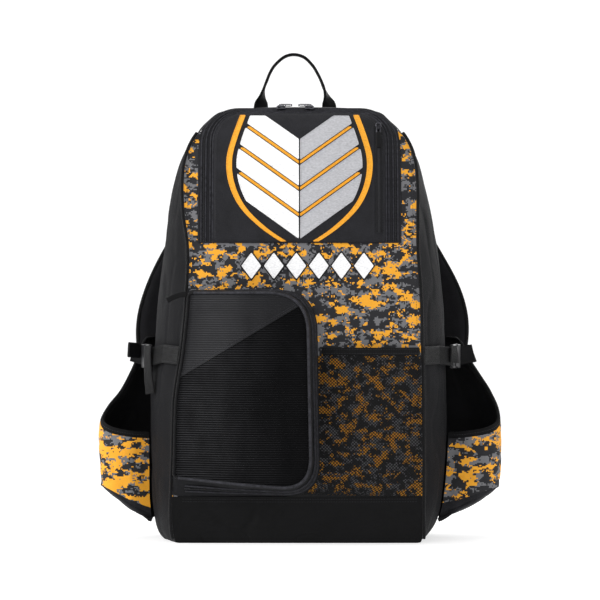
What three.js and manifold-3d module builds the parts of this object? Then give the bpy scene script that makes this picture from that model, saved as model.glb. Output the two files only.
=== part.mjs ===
// A sports backpack for bats, a helmet and a glove, standing on its base.
// Millimetres. Seen from the front X points right, Y points to the wearer's back and Z points up.
// The origin is the middle of the base's underside. Left and right are the viewer's, from the front.
import * as THREE from "three";
import { mergeVertices } from "three/addons/utils/BufferGeometryUtils.js";
import Module from "manifold-3d";

const wasm = await Module();
wasm.setup();

// Whole bag
const bodyHeight = 562;
const frontWidth = 314;
const backWidth = 384;
const bodyDepth = 215;
const frontBulge = 12;
const gussetBulge = 20;

// Cloth and clearances
const cloth = 2;
const seamGap = 0.3;
const seatGap = 0.5;
const pipingRadius = 2.1;

// Base
const bottomThickness = 3;
const bandHeight = 60;

// Flap with the zip round it
const flapWidth = frontWidth - 90;
const flapBottom = 385;
const flapTop = bodyHeight - 7;
const flapCornerRadius = 38;
const flapRise = 5;
const zipBandWidth = 18.5;
const zipBandRise = 1;
const zipBandShoulder = 492;
const topZipHeight = bodyHeight - 4;
const flapZipX = flapWidth / 2 - 10;
const flapZipWidth = 9;
const flapZipLow = 398;
const flapZipHigh = flapTop - 19;
const flapSliderDrop = 6;
const tapeThickness = 1.4;

// Back and carrying
const backPadThickness = 9;
const shoulderStrapWidth = 66;
const shoulderStrapThickness = 13;
const strapWebbingWidth = 20;
const handleSpan = 92;
const handleCentre = -6;
const handleHeight = 78;
const handleShare = 0.93;
const handleWidth = 19;
const handleThickness = 3.6;
const webbingThickness = 1.8;
const adjusterWidth = 30;
const adjusterLength = 24;
const adjusterThickness = 4;

// Box pocket on the left of the front
const doorRight = 15;
const doorTop = 322;
const doorLowLeft = 84;
const doorLowRight = 69;
const doorTopRadius = 52;
const doorLowRadius = 44;
const doorSeamRadius = 8;
const doorDepth = 38;
const doorCrown = 5;
const doorFlare = 11;
const doorFaceThickness = 1.5;
const doorSeamLeftHeight = 211;
const doorSeamRightHeight = 313;

// Mesh pocket on the right of the front
const meshLeft = 29;
const meshEdgeInset = 1.5;
const meshTop = 241;
const meshBindingHeight = 10;
const meshGape = 12;
const meshThickness = 1.2;

// Side pockets for bats
const batReach = 66;
const batWall = 2.4;
const batSeat = 1.1;
const batBottomLeft = 26;
const batBottomRight = 24;
const batBinding = 8;
const batBindingThickness = 3.2;

// Compression straps and their buckles
const compressionShare = 0.4271;
const compressionHeight = compressionShare * bodyHeight;
const compressionWidth = 24;
const compressionEnd = 0.27;
const buckleLeftClearance = 10.4;
const buckleRightClearance = 11.7;
const buckleY = 8;
const buckleTurn = 12;
const buckleThickness = 8.5;
const buckleWidth = 31;
const buckleBevel = 2.2;
const femaleLength = 28;
const maleLength = 22;
const strapLift = 0.8;
const wingLift = 5;
const wingDrop = 2;
const tailLeftLength = 48;
const tailRightLength = 24;
const tabLength = 14;
const tabHeight = 20;
const tabOffset = 11.9;
const sliderLength = 12;
const sliderWidth = 8;
const sliderHeight = 4;
const flapPullLength = 40;
const flapPullWidth = 7;
const topPullLength = 16;
const topPullWidth = 6;
const pocketPullLength = 25;
const pocketPullWidth = 7;
const topSliderLeftX = -24;
const topSliderRightX = 13;

const halfFront = frontWidth / 2;
const halfBack = backWidth / 2;
const halfDepth = bodyDepth / 2;

// The front seam and the back seam, from the middle of the base over one side to the middle of the top.
// front and rear are the two seams' heights as shares of bodyHeight. left and right are the front
// seam's half widths and back is the rear seam's, as shares of half the front or back width.
// The bulges are shares of gussetBulge, with a fuller foot on the left.
const outlineRows = [
  { front: 0, left: 0, right: 0, rear: 0, back: 0, leftBulge: 0, rightBulge: 0 },
  { front: 0, left: 0.64, right: 0.64, rear: 0, back: 0.5, leftBulge: 0, rightBulge: 0 },
  { front: 0, left: 0.96, right: 0.94, rear: 0, back: 0.74, leftBulge: 0, rightBulge: 0 },
  { front: 0.011, left: 1.02, right: 1.0, rear: 0.02, back: 0.88, leftBulge: 0.94, rightBulge: 0.3 },
  { front: 0.071, left: 1.04, right: 1.0, rear: 0.079, back: 0.965, leftBulge: 0.98, rightBulge: 0.7 },
  { front: 0.196, left: 1.025, right: 1.0, rear: 0.198, back: 0.99, leftBulge: 1.0, rightBulge: 0.95 },
  { front: 0.329, left: 1.01, right: 0.997, rear: 0.329, back: 0.995, leftBulge: 1, rightBulge: 1 },
  { front: 0.445, left: 0.95, right: 0.99, rear: 0.445, back: 0.97, leftBulge: 1, rightBulge: 1 },
  { front: 0.561, left: 0.912, right: 0.98, rear: 0.561, back: 0.95, leftBulge: 1, rightBulge: 1 },
  { front: 0.669, left: 0.9, right: 0.955, rear: 0.669, back: 0.92, leftBulge: 0.9, rightBulge: 0.9 },
  { front: 0.747, left: 0.936, right: 0.955, rear: 0.744, back: 0.885, leftBulge: 0.75, rightBulge: 0.75 },
  { front: 0.815, left: 0.949, right: 0.955, rear: 0.811, back: 0.833, leftBulge: 0.6, rightBulge: 0.6 },
  { front: 0.876, left: 0.93, right: 0.936, rear: 0.869, back: 0.781, leftBulge: 0.45, rightBulge: 0.45 },
  { front: 0.923, left: 0.866, right: 0.873, rear: 0.914, back: 0.708, leftBulge: 0.35, rightBulge: 0.35 },
  { front: 0.966, left: 0.745, right: 0.745, rear: 0.957, back: 0.62, leftBulge: 0.3, rightBulge: 0.3 },
  { front: 0.99, left: 0.63, right: 0.63, rear: 0.986, back: 0.46, leftBulge: 0.25, rightBulge: 0.25 },
  { front: 0.998, left: 0.287, right: 0.287, rear: 0.993, back: 0.219, leftBulge: 0.25, rightBulge: 0.25 },
  { front: 1, left: 0, right: 0, rear: 0.995, back: 0, leftBulge: 0.25, rightBulge: 0.25 },
];
const lastRow = outlineRows.length - 1;
const cornerRow = 2.25;
const shoulderRow = 12.7;
const crownRow = 16.6;

// How deep the bag is at each height, as shares of half the depth, and how much of frontBulge is there.
const depthRows = [
  { height: 0, front: 0.93, back: 0.93, dome: 0.15 },
  { height: 0.053, front: 0.99, back: 0.97, dome: 0.5 },
  { height: 0.214, front: 1.02, back: 1, dome: 0.9 },
  { height: 0.445, front: 1.01, back: 1, dome: 1 },
  { height: 0.588, front: 0.97, back: 1, dome: 1 },
  { height: 0.685, front: 0.92, back: 0.99, dome: 0.95 },
  { height: 0.783, front: 0.83, back: 0.97, dome: 1 },
  { height: 0.854, front: 0.73, back: 0.95, dome: 1 },
  { height: 0.916, front: 0.58, back: 0.92, dome: 0.9 },
  { height: 0.971, front: 0.42, back: 0.88, dome: 0.6 },
  { height: 1, front: 0.26, back: 0.84, dome: 0.3 },
];

// The wall of a bat pocket, from its front seam round to its back seam. Station is the place along the
// side panel from front to back, reach a share of batReach, floor and rim shares of bodyHeight.
const batRows = [
  { station: 0.5, reach: 0, floor: 0.059, rim: 0.247 },
  { station: 0.47, reach: 0.4, floor: 0.081, rim: 0.251 },
  { station: 0.49, reach: 0.8, floor: 0.107, rim: 0.261 },
  { station: 0.56, reach: 0.98, floor: 0.119, rim: 0.281 },
  { station: 0.66, reach: 1, floor: 0.121, rim: 0.338 },
  { station: 0.74, reach: 0.98, floor: 0.121, rim: 0.413 },
  { station: 0.82, reach: 0.88, floor: 0.117, rim: 0.459 },
  { station: 0.92, reach: 0.55, floor: 0.094, rim: 0.466 },
  { station: 0.985, reach: 0, floor: 0.059, rim: 0.466 },
];
const lastBatRow = batRows.length - 1;

// How far the bat pockets' walls stand off at each height, as shares of their reach lower down.
const leanRows = [
  { height: 0, left: 0.96, right: 1 },
  { height: 0.119, left: 0.97, right: 1.06 },
  { height: 0.267, left: 0.97, right: 1.02 },
  { height: 0.303, left: 0.81, right: 0.96 },
  { height: 0.338, left: 0.57, right: 0.82 },
  { height: 0.377, left: 0.42, right: 0.62 },
  { height: 0.413, left: 0.34, right: 0.47 },
  { height: 0.466, left: 0.27, right: 0.36 },
];

// A shoulder strap's middle line. Left and right are shares of half the back width, off a share of
// bodyDepth counted from where the strap would lie on the back panel, height a share of bodyHeight and
// width a share of shoulderStrapWidth.
const strapRows = [
  { left: 0.25, right: 0.25, off: 0, height: 0.915, width: 0.82 },
  { left: 0.3, right: 0.3, off: 0.035, height: 0.895, width: 0.86 },
  { left: 0.43, right: 0.44, off: 0.135, height: 0.838, width: 0.95 },
  { left: 0.62, right: 0.65, off: 0.18, height: 0.749, width: 1 },
  { left: 0.82, right: 0.85, off: 0.2, height: 0.641, width: 1 },
  { left: 0.935, right: 0.98, off: 0.17, height: 0.554, width: 1 },
  { left: 0.98, right: 1.02, off: 0.125, height: 0.481, width: 0.98 },
  { left: 0.965, right: 0.99, off: 0.08, height: 0.401, width: 0.88 },
  { left: 0.91, right: 0.91, off: 0.04, height: 0.321, width: 0.7 },
];
const lastStrapRow = strapRows.length - 1;

// The haul handle's middle line from left to right. Across is a share of half of handleSpan, height a
// share of handleHeight, and turn is 0 where the webbing faces the front and 1 where it is edge on.
const handleRows = [
  { across: -1, height: 0, turn: 0 },
  { across: -0.98, height: 0.14, turn: 0.15 },
  { across: -0.95, height: 0.28, turn: 0.75 },
  { across: -0.9, height: 0.42, turn: 1 },
  { across: -0.81, height: 0.56, turn: 1 },
  { across: -0.72, height: 0.69, turn: 1 },
  { across: -0.58, height: 0.82, turn: 1 },
  { across: -0.32, height: 0.955, turn: 1 },
  { across: -0.04, height: 1, turn: 1 },
  { across: 0.26, height: 0.955, turn: 1 },
  { across: 0.5, height: 0.82, turn: 1 },
  { across: 0.64, height: 0.69, turn: 1 },
  { across: 0.75, height: 0.56, turn: 1 },
  { across: 0.84, height: 0.42, turn: 1 },
  { across: 0.92, height: 0.28, turn: 0.75 },
  { across: 0.98, height: 0.14, turn: 0.15 },
  { across: 1, height: 0, turn: 0 },
];

// A smooth function through a table's rows, from one column to another. The key "row" counts the rows.
function through(rows, key, column) {
  const keys = rows.map((row, index) => (key === "row" ? index : row[key]));
  const values = rows.map((row) => row[column]);
  const slope = (i) => {
    const before = Math.max(i - 1, 0);
    const after = Math.min(i + 1, keys.length - 1);
    return (values[after] - values[before]) / (keys[after] - keys[before]);
  };
  return (wanted) => {
    const x = THREE.MathUtils.clamp(wanted, keys[0], keys[keys.length - 1]);
    const found = keys.findIndex((value) => value > x);
    const i = found < 0 ? keys.length - 2 : found - 1;
    const span = keys[i + 1] - keys[i];
    const t = (x - keys[i]) / span;
    const rise = (1 - t) * (1 - t);
    return (
      values[i] * (1 + 2 * t) * rise +
      values[i + 1] * t * t * (3 - 2 * t) +
      slope(i) * span * t * rise -
      slope(i + 1) * span * t * t * (1 - t)
    );
  };
}

const frontHeightAt = through(outlineRows, "row", "front");
const backHeightAt = through(outlineRows, "row", "rear");
const leftAt = through(outlineRows, "row", "left");
const rightAt = through(outlineRows, "row", "right");
const backAt = through(outlineRows, "row", "back");
const leftBulgeAt = through(outlineRows, "row", "leftBulge");
const rightBulgeAt = through(outlineRows, "row", "rightBulge");
const frontDepthAt = through(depthRows, "height", "front");
const backDepthAt = through(depthRows, "height", "back");
const domeAt = through(depthRows, "height", "dome");
const batStationAt = through(batRows, "row", "station");
const batReachAt = through(batRows, "row", "reach");
const batFloorAt = through(batRows, "row", "floor");
const batRimAt = through(batRows, "row", "rim");
const leanLeftAt = through(leanRows, "height", "left");
const leanRightAt = through(leanRows, "height", "right");

// The row of the outline at a height, found by halving.
function rowAtHeight(z, heightAt = frontHeightAt) {
  let low = 2;
  let high = lastRow;
  for (let step = 0; step < 40; step++) {
    const middle = (low + high) / 2;
    if (heightAt(middle) * bodyHeight < z) low = middle;
    else high = middle;
  }
  return (low + high) / 2;
}

const seamY = (z) => -halfDepth * frontDepthAt(z / bodyHeight);
const backY = (z) => halfDepth * backDepthAt(z / bodyHeight);
const frontHalfAtRow = (row, side) => halfFront * (side < 0 ? leftAt(row) : rightAt(row));
const frontHalf = (z, side) => frontHalfAtRow(rowAtHeight(z), side);

// The front cloth's outer face.
function frontY(x, z) {
  const share = Math.min(Math.abs(x) / frontHalf(z, Math.sign(x)), 1);
  return seamY(z) - frontBulge * domeAt(z / bodyHeight) * (1 - share ** 2.4);
}

// A point of the outer face between the front seam and the back seam, and the way out of the bag there.
function gussetPoint(row, share, side) {
  const chord = (r) => {
    const frontZ = bodyHeight * frontHeightAt(r);
    const backZ = bodyHeight * backHeightAt(r);
    const front = new THREE.Vector3(frontHalfAtRow(r, side), seamY(frontZ) + cloth + seamGap, frontZ);
    return front.lerp(new THREE.Vector3(halfBack * backAt(r), backY(backZ) - seamGap, backZ), share);
  };
  const step = 0.02;
  const along = chord(Math.min(row + step, lastRow)).sub(chord(row - step));
  const outward = new THREE.Vector3(along.z, 0, -along.x).normalize();
  const bulge = gussetBulge * (side < 0 ? leftBulgeAt(row) : rightBulgeAt(row));
  const point = chord(row).addScaledVector(outward, bulge * Math.sin(Math.PI * share));
  point.x *= side;
  outward.x *= side;
  return { point, outward };
}

const onGusset = (row, share, side, lift) => {
  const { point, outward } = gussetPoint(row, share, side);
  return point.addScaledVector(outward, lift);
};

// A geometry from points and faces, turned so that its faces point out.
function solidFrom(points, faces) {
  const corner = (face, k) => points[face[k]];
  const cross = new THREE.Vector3();
  const volume = faces.reduce(
    (sum, face) => sum + corner(face, 0).dot(cross.crossVectors(corner(face, 1), corner(face, 2))),
    0,
  );
  const turned = volume < 0 ? faces.map(([a, b, c]) => [a, c, b]) : faces;
  return new THREE.BufferGeometry().setFromPoints(points).setIndex(turned.flat());
}

// A closed solid between two faces, each a function of two shares, with its rims stitched.
// A ring closes on itself across its columns.
function gridSolid(outer, inner, columns, rows, ring = false) {
  const across = ring ? columns : columns + 1;
  const points = [];
  for (const face of [outer, inner])
    for (let j = 0; j <= rows; j++)
      for (let i = 0; i < across; i++) points.push(face(i / columns, j / rows));
  const at = (layer, i, j) => (layer * (rows + 1) + j) * across + (ring ? i % columns : i);
  const faces = [];
  const quad = (a, b, c, d) => faces.push([a, b, c], [a, c, d]);
  for (let i = 0; i < columns; i++) {
    for (let j = 0; j < rows; j++) {
      quad(at(0, i, j), at(0, i + 1, j), at(0, i + 1, j + 1), at(0, i, j + 1));
      quad(at(1, i, j), at(1, i, j + 1), at(1, i + 1, j + 1), at(1, i + 1, j));
    }
    quad(at(0, i, 0), at(1, i, 0), at(1, i + 1, 0), at(0, i + 1, 0));
    quad(at(0, i, rows), at(0, i + 1, rows), at(1, i + 1, rows), at(1, i, rows));
  }
  for (let j = 0; j < rows && !ring; j++) {
    quad(at(0, 0, j), at(0, 0, j + 1), at(1, 0, j + 1), at(1, 0, j));
    quad(at(0, columns, j), at(1, columns, j), at(1, columns, j + 1), at(0, columns, j + 1));
  }
  return solidFrom(points, faces);
}

// A closed solid through convex sections with as many points each. A loop joins its last to its first.
function loftSolid(sections, loop = false) {
  const count = sections[0].length;
  const faces = [];
  const last = loop ? sections.length : sections.length - 1;
  for (let k = 0; k < last; k++)
    for (let i = 0; i < count; i++) {
      const next = (i + 1) % count;
      const a = k * count;
      const b = ((k + 1) % sections.length) * count;
      faces.push([a + i, a + next, b + next], [a + i, b + next, b + i]);
    }
  for (let i = 1; i < count - 1 && !loop; i++) {
    const end = last * count;
    faces.push([0, i + 1, i], [end, end + i, end + i + 1]);
  }
  return solidFrom(sections.flat(), faces);
}

// A round tube along points, with the given number of sides.
function tube(points, radius, sides, loop = false) {
  const count = points.length;
  const sections = points.map((point, k) => {
    const before = points[loop ? (k + count - 1) % count : Math.max(k - 1, 0)];
    const after = points[loop ? (k + 1) % count : Math.min(k + 1, count - 1)];
    const along = after.clone().sub(before).normalize();
    const first = new THREE.Vector3(0, 1, 0).addScaledVector(along, -along.y).normalize();
    const second = along.clone().cross(first);
    return Array.from({ length: sides }, (_, i) => {
      const angle = (2 * Math.PI * (i + 0.5)) / sides;
      return point
        .clone()
        .addScaledVector(first, radius * Math.cos(angle))
        .addScaledVector(second, radius * Math.sin(angle));
    });
  });
  return loftSolid(sections, loop);
}

// A flat band along points. Each point has its own width, thickness and direction across.
function band(stations) {
  const sections = stations.map(({ point, across, width, thickness, bevel = 0 }, k) => {
    const before = stations[Math.max(k - 1, 0)].point;
    const after = stations[Math.min(k + 1, stations.length - 1)].point;
    const along = after.clone().sub(before).normalize();
    const wide = across.clone().addScaledVector(along, -across.dot(along)).normalize();
    const thick = along.clone().cross(wide);
    const w = width / 2;
    const t = thickness / 2;
    const corners = bevel
      ? [
          [-w, -t + bevel],
          [-w + bevel, -t],
          [w - bevel, -t],
          [w, -t + bevel],
          [w, t - bevel],
          [w - bevel, t],
          [-w + bevel, t],
          [-w, t - bevel],
        ]
      : [
          [-w, -t],
          [w, -t],
          [w, t],
          [-w, t],
        ];
    return corners.map(([a, b]) => point.clone().addScaledVector(wide, a).addScaledVector(thick, b));
  });
  return loftSolid(sections);
}

function toManifold(geometry) {
  const bare = new THREE.BufferGeometry()
    .setAttribute("position", geometry.getAttribute("position"))
    .setIndex(geometry.index);
  const merged = mergeVertices(bare, 1e-4);
  return new wasm.Manifold(
    new wasm.Mesh({
      numProp: 3,
      vertProperties: new Float32Array(merged.attributes.position.array),
      triVerts: new Uint32Array(merged.index.array),
    }),
  );
}

function toGeometry(manifold) {
  const mesh = manifold.getMesh();
  return new THREE.BufferGeometry()
    .setAttribute("position", new THREE.BufferAttribute(new Float32Array(mesh.vertProperties), 3))
    .setIndex(new THREE.BufferAttribute(new Uint32Array(mesh.triVerts), 1));
}

// A straight block through the whole depth of the bag, with an outline of X and Z.
function throughDepth(outline) {
  const shape = outline instanceof THREE.Shape ? outline : new THREE.Shape(outline);
  const geometry = new THREE.ExtrudeGeometry(shape, {
    depth: 4 * bodyDepth,
    bevelEnabled: false,
    curveSegments: 6,
  });
  return toManifold(geometry.rotateX(Math.PI / 2).translate(0, 2 * bodyDepth, 0));
}

// A loop of X and Z with rounded corners. A radius of 0 keeps the corner as one point, and the
// straight edge after a corner gets as many parts as its split says.
function roundedLoop(corners, steps = 5) {
  const rounded = corners.map(({ x, z, radius }, k) => {
    const here = new THREE.Vector2(x, z);
    if (!radius) return [here];
    const before = corners[(k + corners.length - 1) % corners.length];
    const after = corners[(k + 1) % corners.length];
    const start = new THREE.Vector2(before.x, before.z).sub(here).setLength(radius).add(here);
    const end = new THREE.Vector2(after.x, after.z).sub(here).setLength(radius).add(here);
    return new THREE.QuadraticBezierCurve(start, here, end).getPoints(steps);
  });
  return rounded.flatMap((points, k) => {
    const next = rounded[(k + 1) % rounded.length][0];
    const parts = corners[k].split || 1;
    const between = Array.from({ length: parts - 1 }, (_, i) =>
      points[points.length - 1].clone().lerp(next, (i + 1) / parts),
    );
    return [...points, ...between];
  });
}

// The same loop, moved inwards. The loop runs anticlockwise.
function insetLoop(loop, distance) {
  const count = loop.length;
  return loop.map((point, k) => {
    const along = loop[(k + 1) % count].clone().sub(loop[(k + count - 1) % count]).normalize();
    return point.clone().add(new THREE.Vector2(-along.y, along.x).multiplyScalar(distance));
  });
}

const colours = {
  camouflage: 0xc98a1e,
  blackCloth: 0x1d1d20,
  greyCloth: 0x37373a,
  webbing: 0x161618,
  mesh: 0x141414,
  plastic: 0x0f0f10,
  metal: 0x55565a,
};

const bag = new THREE.Group();

function add(name, geometry, colour, roughness = 0.85, metalness = 0) {
  const material = new THREE.MeshStandardMaterial({ color: colours[colour], roughness, metalness });
  const mesh = new THREE.Mesh(geometry, material);
  mesh.name = name;
  bag.add(mesh);
}

// Side panels and top gusset: one strip of cloth round the bag, between the front and back seams.
const gussetStrip = (rowAt, sideAt, columns, rows) => {
  const face = (inset) => (u, v) => onGusset(rowAt(v), u, sideAt(v), -inset);
  return gridSolid(face(0), face(cloth), columns, rows);
};

for (const [name, side] of [
  ["side_panel_left", -1],
  ["side_panel_right", 1],
])
  add(
    name,
    gussetStrip((v) => cornerRow + v * (shoulderRow - cornerRow), () => side, 10, 16),
    "greyCloth",
  );

const topStart = shoulderRow + seamGap / 20;
add(
  "top_gusset",
  gussetStrip(
    (v) => lastRow - Math.abs(2 * v - 1) * (lastRow - topStart),
    (v) => (v < 0.5 ? -1 : 1),
    6,
    16,
  ),
  "blackCloth",
);

// Base: a stiff bottom plate and the band across the foot of the front.
const bottomHalf = (share, side) =>
  Math.min(...[0, -cloth].map((lift) => Math.abs(onGusset(cornerRow, share, side, lift).x)));
const bottomFace = (height) => (u, v) => {
  const x = (2 * u - 1) * (bottomHalf(v, u < 0.5 ? -1 : 1) - 2 * seamGap);
  const front = frontY(x, 0) + cloth + seamGap;
  return new THREE.Vector3(x, THREE.MathUtils.lerp(front, backY(0) - seamGap, v), height);
};
add("bottom_panel", gridSolid(bottomFace(0), bottomFace(bottomThickness), 8, 4), "blackCloth");

// A sheet over the front between two heights, lifted off the front cloth's face by the given amounts.
function frontSheet(rowLow, rowHigh, outerLift, innerLift, columns, rows) {
  const face = (lift) => (u, v) => {
    const row = rowLow + v * (rowHigh - rowLow);
    const z = bodyHeight * frontHeightAt(row);
    const across = 2 * u - 1;
    const x = Math.abs(across) * frontHalfAtRow(row, Math.sign(across)) * Math.sign(across);
    return new THREE.Vector3(x, frontY(x, z) - lift, z);
  };
  return gridSolid(face(outerLift), face(innerLift), columns, rows);
}

const bandTopRow = rowAtHeight(bandHeight - seamGap / 2);
add("base_band", frontSheet(rowAtHeight(seamGap), bandTopRow, 0, -cloth, 12, 5), "blackCloth");

// An arch of X and Z with a straight foot and round upper corners.
function archShape(half, low, high, radius) {
  const shape = new THREE.Shape();
  shape.moveTo(-half, low);
  shape.lineTo(half, low);
  shape.lineTo(half, high - radius);
  shape.absarc(half - radius, high - radius, radius, 0, Math.PI / 2, false);
  shape.lineTo(radius - half, high);
  shape.absarc(radius - half, high - radius, radius, Math.PI / 2, Math.PI, false);
  return shape;
}

// The zip band's outer edge. Above its shoulders it runs out over the bag's outline.
function bandShape(grow) {
  const half = flapWidth / 2 + zipBandWidth + grow;
  const shape = new THREE.Shape();
  shape.moveTo(-half, flapBottom - grow);
  shape.lineTo(half, flapBottom - grow);
  shape.lineTo(half, zipBandShoulder);
  const bend = bodyHeight - flapCornerRadius / 2;
  shape.quadraticCurveTo(half, bend, half - zipBandWidth, topZipHeight + grow);
  shape.lineTo(half - zipBandWidth, 2 * bodyHeight);
  shape.lineTo(zipBandWidth - half, 2 * bodyHeight);
  shape.lineTo(zipBandWidth - half, topZipHeight + grow);
  shape.quadraticCurveTo(-half, bend, -half, zipBandShoulder);
  return shape;
}

// Front panel: the camouflage cloth below the flap and in two arms beside it.
const flapHalf = flapWidth / 2;
const panelLowRow = rowAtHeight(bandHeight + seamGap / 2);
const panelSheet = toManifold(frontSheet(panelLowRow, crownRow, 0, -cloth, 14, 16));
add("front_panel", toGeometry(panelSheet.subtract(throughDepth(bandShape(seamGap)))), "camouflage");

// Zip band: it frames the flap and carries the main zip.
const flapLowRow = rowAtHeight(flapBottom - 8);
const bandSheet = toManifold(frontSheet(flapLowRow, crownRow, zipBandRise, -cloth, 14, 12));
const zipBand = bandSheet
  .intersect(throughDepth(bandShape(0)))
  .subtract(throughDepth(archShape(flapHalf + seamGap, 0, flapTop + seamGap, flapCornerRadius)));
add("zip_band", toGeometry(zipBand), "blackCloth");

// Flap: the raised cloth inside the arch.
const flapSheet = toManifold(frontSheet(flapLowRow, crownRow, flapRise, 0, 14, 12));
const flap = flapSheet.intersect(throughDepth(archShape(flapHalf, flapBottom, flapTop, flapCornerRadius)));
add("flap", toGeometry(flap), "blackCloth");

// A vertical zip on the right of the flap.
const flapZipFace = (lift) => (u, v) => {
  const x = flapZipX + (u - 0.5) * flapZipWidth;
  const z = THREE.MathUtils.lerp(flapZipLow, flapZipHigh, v);
  return new THREE.Vector3(x, frontY(x, z) - flapRise - lift, z);
};
add("flap_zip", gridSolid(flapZipFace(seatGap + tapeThickness), flapZipFace(seatGap), 1, 10), "webbing");

// Back panel: a padded sheet with the outline of the back seam.
const backFace = (lift) => (u, v) => {
  const row = THREE.MathUtils.lerp(rowAtHeight(seamGap, backHeightAt), crownRow, v);
  const z = bodyHeight * backHeightAt(row);
  return new THREE.Vector3((2 * u - 1) * halfBack * backAt(row), backY(z) + lift, z);
};
add("back_panel", gridSolid(backFace(backPadThickness), backFace(seatGap), 6, 14), "blackCloth");

// Piping along the front seams.
for (const [name, side] of [
  ["seam_piping_left", -1],
  ["seam_piping_right", 1],
]) {
  const path = Array.from({ length: 25 }, (_, k) => {
    const { point, outward } = gussetPoint(THREE.MathUtils.lerp(3, 13.3, k / 24), 0, side);
    point.y -= cloth + seamGap + 0.2;
    return point.addScaledVector(outward, pipingRadius + seamGap);
  });
  add(name, tube(path, pipingRadius, 6), "webbing");
}

// Box pocket: its wall stands on the front panel, flares towards it and carries two face cloths.
const seamX = (z) => -frontHalf(z, -1);
function doorLoop(flare) {
  const low = flare ? bandHeight + 2 * seatGap : doorLowLeft;
  const lowRight = flare ? low : doorLowRight;
  const high = doorTop + flare / 4;
  const edge = [high, 0.85, 0.7, 0.5, 0.25, low].map((share, k, all) =>
    k === 0 || k === all.length - 1 ? share : low + share * (high - low),
  );
  const corners = edge.map((z, k) => ({
    x: seamX(z),
    z,
    radius: k === 0 || k === edge.length - 1 ? doorSeamRadius : 0,
    split: k === edge.length - 1 ? 6 : 1,
  }));
  corners.push({ x: doorRight + 1 + flare, z: lowRight, radius: doorLowRadius, split: 6 });
  corners.push({ x: doorRight - 4 + flare, z: high, radius: doorTopRadius, split: 5 });
  return roundedLoop(corners);
}

function doorFaceY(x, z) {
  const left = seamX(z);
  const share = THREE.MathUtils.clamp((x - left) / (doorRight - left), 0, 1);
  const height = THREE.MathUtils.clamp((z - doorLowRight) / (doorTop - doorLowRight), 0, 1);
  const swell = 0.22 + 0.78 * THREE.MathUtils.smoothstep(share, 0, 0.5);
  const crown = doorCrown * Math.sin(Math.PI * share) * Math.sin(Math.PI * height);
  return frontY(x, z) - doorDepth * swell - crown;
}

const doorFaceLoop = doorLoop(0);
const doorBaseLoop = doorLoop(doorFlare);
const doorWall = (inset) => {
  const base = insetLoop(doorBaseLoop, inset);
  const top = insetLoop(doorFaceLoop, inset);
  return (u, v) => {
    const k = Math.round(u * base.length) % base.length;
    const { x, y: z } = base[k].clone().lerp(top[k], v);
    const foot = frontY(x, z) - seatGap;
    return new THREE.Vector3(x, THREE.MathUtils.lerp(foot, doorFaceY(x, z), v), z);
  };
};
add("box_pocket_wall", gridSolid(doorWall(0), doorWall(cloth), doorBaseLoop.length, 2, true), "blackCloth");

const doorFace = (lift) => (u, v) => {
  const z = THREE.MathUtils.lerp(doorLowRight - 4, doorTop + 4, v);
  const x = THREE.MathUtils.lerp(seamX(z) - 2, doorRight + 4, u);
  return new THREE.Vector3(x, doorFaceY(x, z) + lift, z);
};
const doorSheet = toManifold(gridSolid(doorFace(0), doorFace(doorFaceThickness), 10, 10)).intersect(
  throughDepth(insetLoop(doorFaceLoop, cloth + seamGap)),
);
// The seam between the two face cloths climbs from the left edge to the right edge.
const diagonalCut = (above) => {
  const offset = above ? seamGap / 2 : -seamGap / 2;
  const far = above ? 2 * bodyHeight : -bodyHeight;
  const reach = frontWidth;
  const slope = (doorSeamRightHeight - doorSeamLeftHeight) / (doorRight - seamX(doorSeamLeftHeight));
  const lowEnd = doorSeamLeftHeight - slope * reach + offset;
  const highEnd = doorSeamRightHeight + slope * reach + offset;
  const left = seamX(doorSeamLeftHeight) - reach;
  const corners = [
    new THREE.Vector2(left, lowEnd),
    new THREE.Vector2(doorRight + reach, highEnd),
    new THREE.Vector2(doorRight + reach, far),
    new THREE.Vector2(left, far),
  ];
  return throughDepth(above ? corners : corners.reverse());
};
add("box_pocket_upper_cloth", toGeometry(doorSheet.intersect(diagonalCut(true))), "blackCloth", 0.7);
add("box_pocket_ribbed_mesh", toGeometry(doorSheet.intersect(diagonalCut(false))), "mesh", 0.7);

const doorPipingPath = insetLoop(doorFaceLoop, pipingRadius / 2).map(
  ({ x, y: z }) => new THREE.Vector3(x, doorFaceY(x, z) - pipingRadius - 3 * seatGap, z),
);
add("box_pocket_piping", tube(doorPipingPath, pipingRadius, 5, true), "webbing");

// Mesh pocket: a net sheet over the right of the front panel, open at the top under a binding.
const meshLow = bandHeight + 4;
function meshPoint(u, z, lift) {
  const right = frontHalf(z, 1) - meshEdgeInset;
  const x = THREE.MathUtils.lerp(meshLeft, right, u);
  const height = THREE.MathUtils.clamp((z - meshLow) / (meshTop - meshLow), 0, 1);
  const gape = meshGape * (1 - (2 * u - 1) ** 2) * Math.sin((Math.PI / 2) * (0.1 + 0.9 * height));
  return new THREE.Vector3(x, frontY(x, z) - seatGap - gape - lift, z);
}
const meshSheet = (lift) => (u, v) => meshPoint(u, THREE.MathUtils.lerp(meshLow, meshTop, v), lift);
add("mesh_pocket_net", gridSolid(meshSheet(meshThickness), meshSheet(0), 8, 8), "mesh", 0.7);
const meshBindingFace = (lift) => (u, v) =>
  meshPoint(u, THREE.MathUtils.lerp(meshTop + seamGap, meshTop + meshBindingHeight, v), lift);
add(
  "mesh_pocket_binding",
  gridSolid(meshBindingFace(cloth + meshThickness), meshBindingFace(0), 8, 1),
  "webbing",
);

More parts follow.
